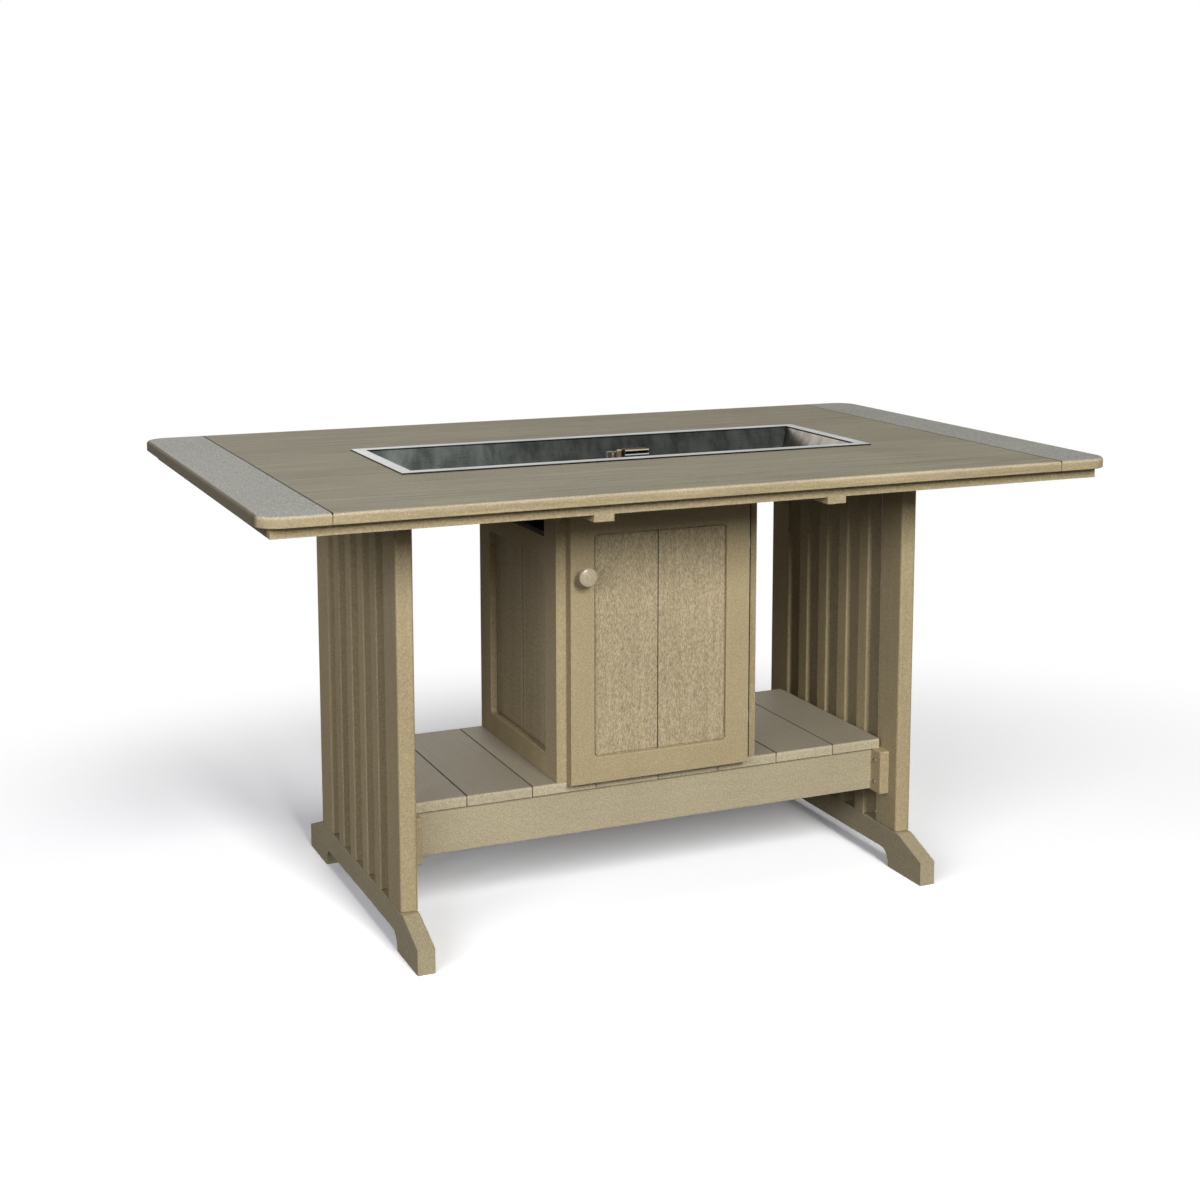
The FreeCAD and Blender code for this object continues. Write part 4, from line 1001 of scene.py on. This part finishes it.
ports = grow("burner_ports", tree, keys, {
    "Port Count": PORT_COUNT, "Row Length": PORT_ROW, "Tube Radius": TUBE_RADIUS,
    "Port Radius": PORT_RADIUS, "Port Lean": PORT_LEAN, "Axis Height": tube_top - TUBE_RADIUS,
    "Material": port_shade}, bpy.data.meshes.new("port_start"))
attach(ports, "table")

# %% [markdown]
# ## Screws of the stretcher cleats
#
# Two screws hold each cleat to its post. The frame has them as plain pins with a rounded head, so
# here each gets a head with a star-shaped recess. The head is turned on a lathe in code: a profile
# is walked round in small steps, and inside the recess its radius swings six times a turn. Geometry
# Nodes then sets one on each of eight points, and a direction stored on the points turns it to face
# out of its cleat.

# %% Shape one screw
HEAD_STEPS = 24
STAR_POINTS = 6
STAR_SWING = 0.0003
HEAD_PROFILE = [(0.0025, -0.040, 0), (0.0025, 0.0, 0), (0.0050, 0.0, 0), (0.0050, 0.0010, 0),
                (0.0046, 0.0019, 0), (0.0037, 0.0024, 0), (0.0027, 0.0026, 0),
                (0.0021, 0.0025, 1), (0.0020, 0.0009, 1)]


def lathe_screw():
    """A screw along Z with its seat at the origin.

    The profile gives each ring's radius, height and whether it is part of the star recess."""
    shape = bmesh.new()
    rings = []
    for radius, height, star in HEAD_PROFILE:
        ring = []
        for step in range(HEAD_STEPS):
            angle = 2 * math.pi * step / HEAD_STEPS
            reach = radius + star * STAR_SWING * math.cos(STAR_POINTS * angle)
            place = (reach * math.cos(angle), reach * math.sin(angle), height)
            ring.append(shape.verts.new(place))
        rings.append(ring)
    for low, high in zip(rings, rings[1:]):
        for step in range(HEAD_STEPS):
            after = (step + 1) % HEAD_STEPS
            shape.faces.new((low[step], low[after], high[after], high[step]))
    shape.faces.new(reversed(rings[0]))
    shape.faces.new(rings[-1])
    bmesh.ops.recalc_face_normals(shape, faces=shape.faces)
    mesh = bpy.data.meshes.new("cleat_screw")
    shape.to_mesh(mesh)
    shape.free()
    return bpy.data.objects.new("cleat_screw", mesh)


screw = lathe_screw()
print("one screw has", len(screw.data.polygons), "faces")

# %% Set the screws on their cleats
SEAT_X = 0.534
HEAD_RADIUS = 0.005
screw_low, screw_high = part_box("cleat_screws")
seat_y = screw_high.y - HEAD_RADIUS
seat_z = (screw_low.z + HEAD_RADIUS, screw_high.z - HEAD_RADIUS)
seats = [(side * SEAT_X, end * seat_y, z) for side in (-1, 1) for end in (-1, 1) for z in seat_z]
seat_mesh = bpy.data.meshes.new("screw_seats")
seat_mesh.from_pydata(seats, [], [])
outward = seat_mesh.attributes.new("outward", "FLOAT_VECTOR", "POINT")
for item, seat in zip(outward.data, seats):
    item.vector = (-1 if seat[0] > 0 else 1, 0, 0)
tree, given, keys = new_growth("Cleat Screws", [
    ("Geometry", "NodeSocketGeometry"), ("Screw", "NodeSocketObject"),
    ("Material", "NodeSocketMaterial")])
facing = put(tree, "GeometryNodeInputNamedAttribute", {"data_type": "FLOAT_VECTOR"}, Name="outward")
turn = put(tree, "FunctionNodeAlignRotationToVector", {"axis": "Z"},
           Vector=facing.outputs["Attribute"])
shape = put(tree, "GeometryNodeObjectInfo", Object=given["Screw"]).outputs["Geometry"]
copies = put(tree, "GeometryNodeInstanceOnPoints", Points=given["Geometry"], Instance=shape,
             Rotation=turn.outputs["Rotation"])
close_growth(tree, copies.outputs[0], given["Material"])
scene.collection.objects.link(screw)
cleat_screws = grow("star_cleat_screws", tree, keys, {"Screw": screw, "Material": screw_steel},
                    seat_mesh)
bpy.data.objects.remove(screw)
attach(cleat_screws, "table")
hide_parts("cleat_screws")

# %% [markdown]
# ## Pointer of the gas knob
#
# A pale line is inlaid along one end of the knob's grip, so that the hand can see how far the gas
# is turned on. A tint could paint it, but a piece of its own is part of the mesh. It is
# one thin bar with rounded ends, a little proud of the grip, and it turns with the knob.

# %% Inlay the pointer
POINTER_WHITE = (0.72, 0.71, 0.68, 1)
POINTER_FROM = 0.004
POINTER_TO = 0.017
POINTER_HALF_WIDTH = 0.0011
POINTER_PROUD = 0.0002
END_STEPS = 8


def make_pointer(middle_x, front_y, low_z, high_z, half_width, proud):
    """A flat bar with round ends, half sunk into a face that looks towards -Y."""
    outline = []
    for centre_z, start in ((high_z - half_width, 0.0), (low_z + half_width, math.pi)):
        for step in range(END_STEPS + 1):
            angle = start + math.pi * step / END_STEPS
            x = middle_x + half_width * math.cos(angle)
            z = centre_z + half_width * math.sin(angle)
            outline.append((x, z))
    shape = bmesh.new()
    front = [shape.verts.new((x, front_y - proud, z)) for x, z in outline]
    back = [shape.verts.new((x, front_y + proud, z)) for x, z in outline]
    shape.faces.new(front)
    shape.faces.new(list(reversed(back)))
    for i in range(len(outline)):
        after = (i + 1) % len(outline)
        shape.faces.new((front[i], back[i], back[after], front[after]))
    bmesh.ops.recalc_face_normals(shape, faces=shape.faces)
    mesh = bpy.data.meshes.new("gas_pointer")
    shape.to_mesh(mesh)
    shape.free()
    piece = bpy.data.objects.new("gas_pointer", mesh)
    scene.collection.objects.link(piece)
    return piece


grip_low, grip_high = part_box("control_knob")
grip_middle = (grip_low + grip_high) / 2
pointer = make_pointer(grip_middle.x, grip_low.y, grip_middle.z + POINTER_FROM,
                       grip_middle.z + POINTER_TO, POINTER_HALF_WIDTH, POINTER_PROUD)
pointer.data.materials.append(moulded("pointer_white", POINTER_WHITE, rough=0.4))
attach(pointer, "gas_knob")
print("pointer at", [round(value, 4) for value in grip_middle])
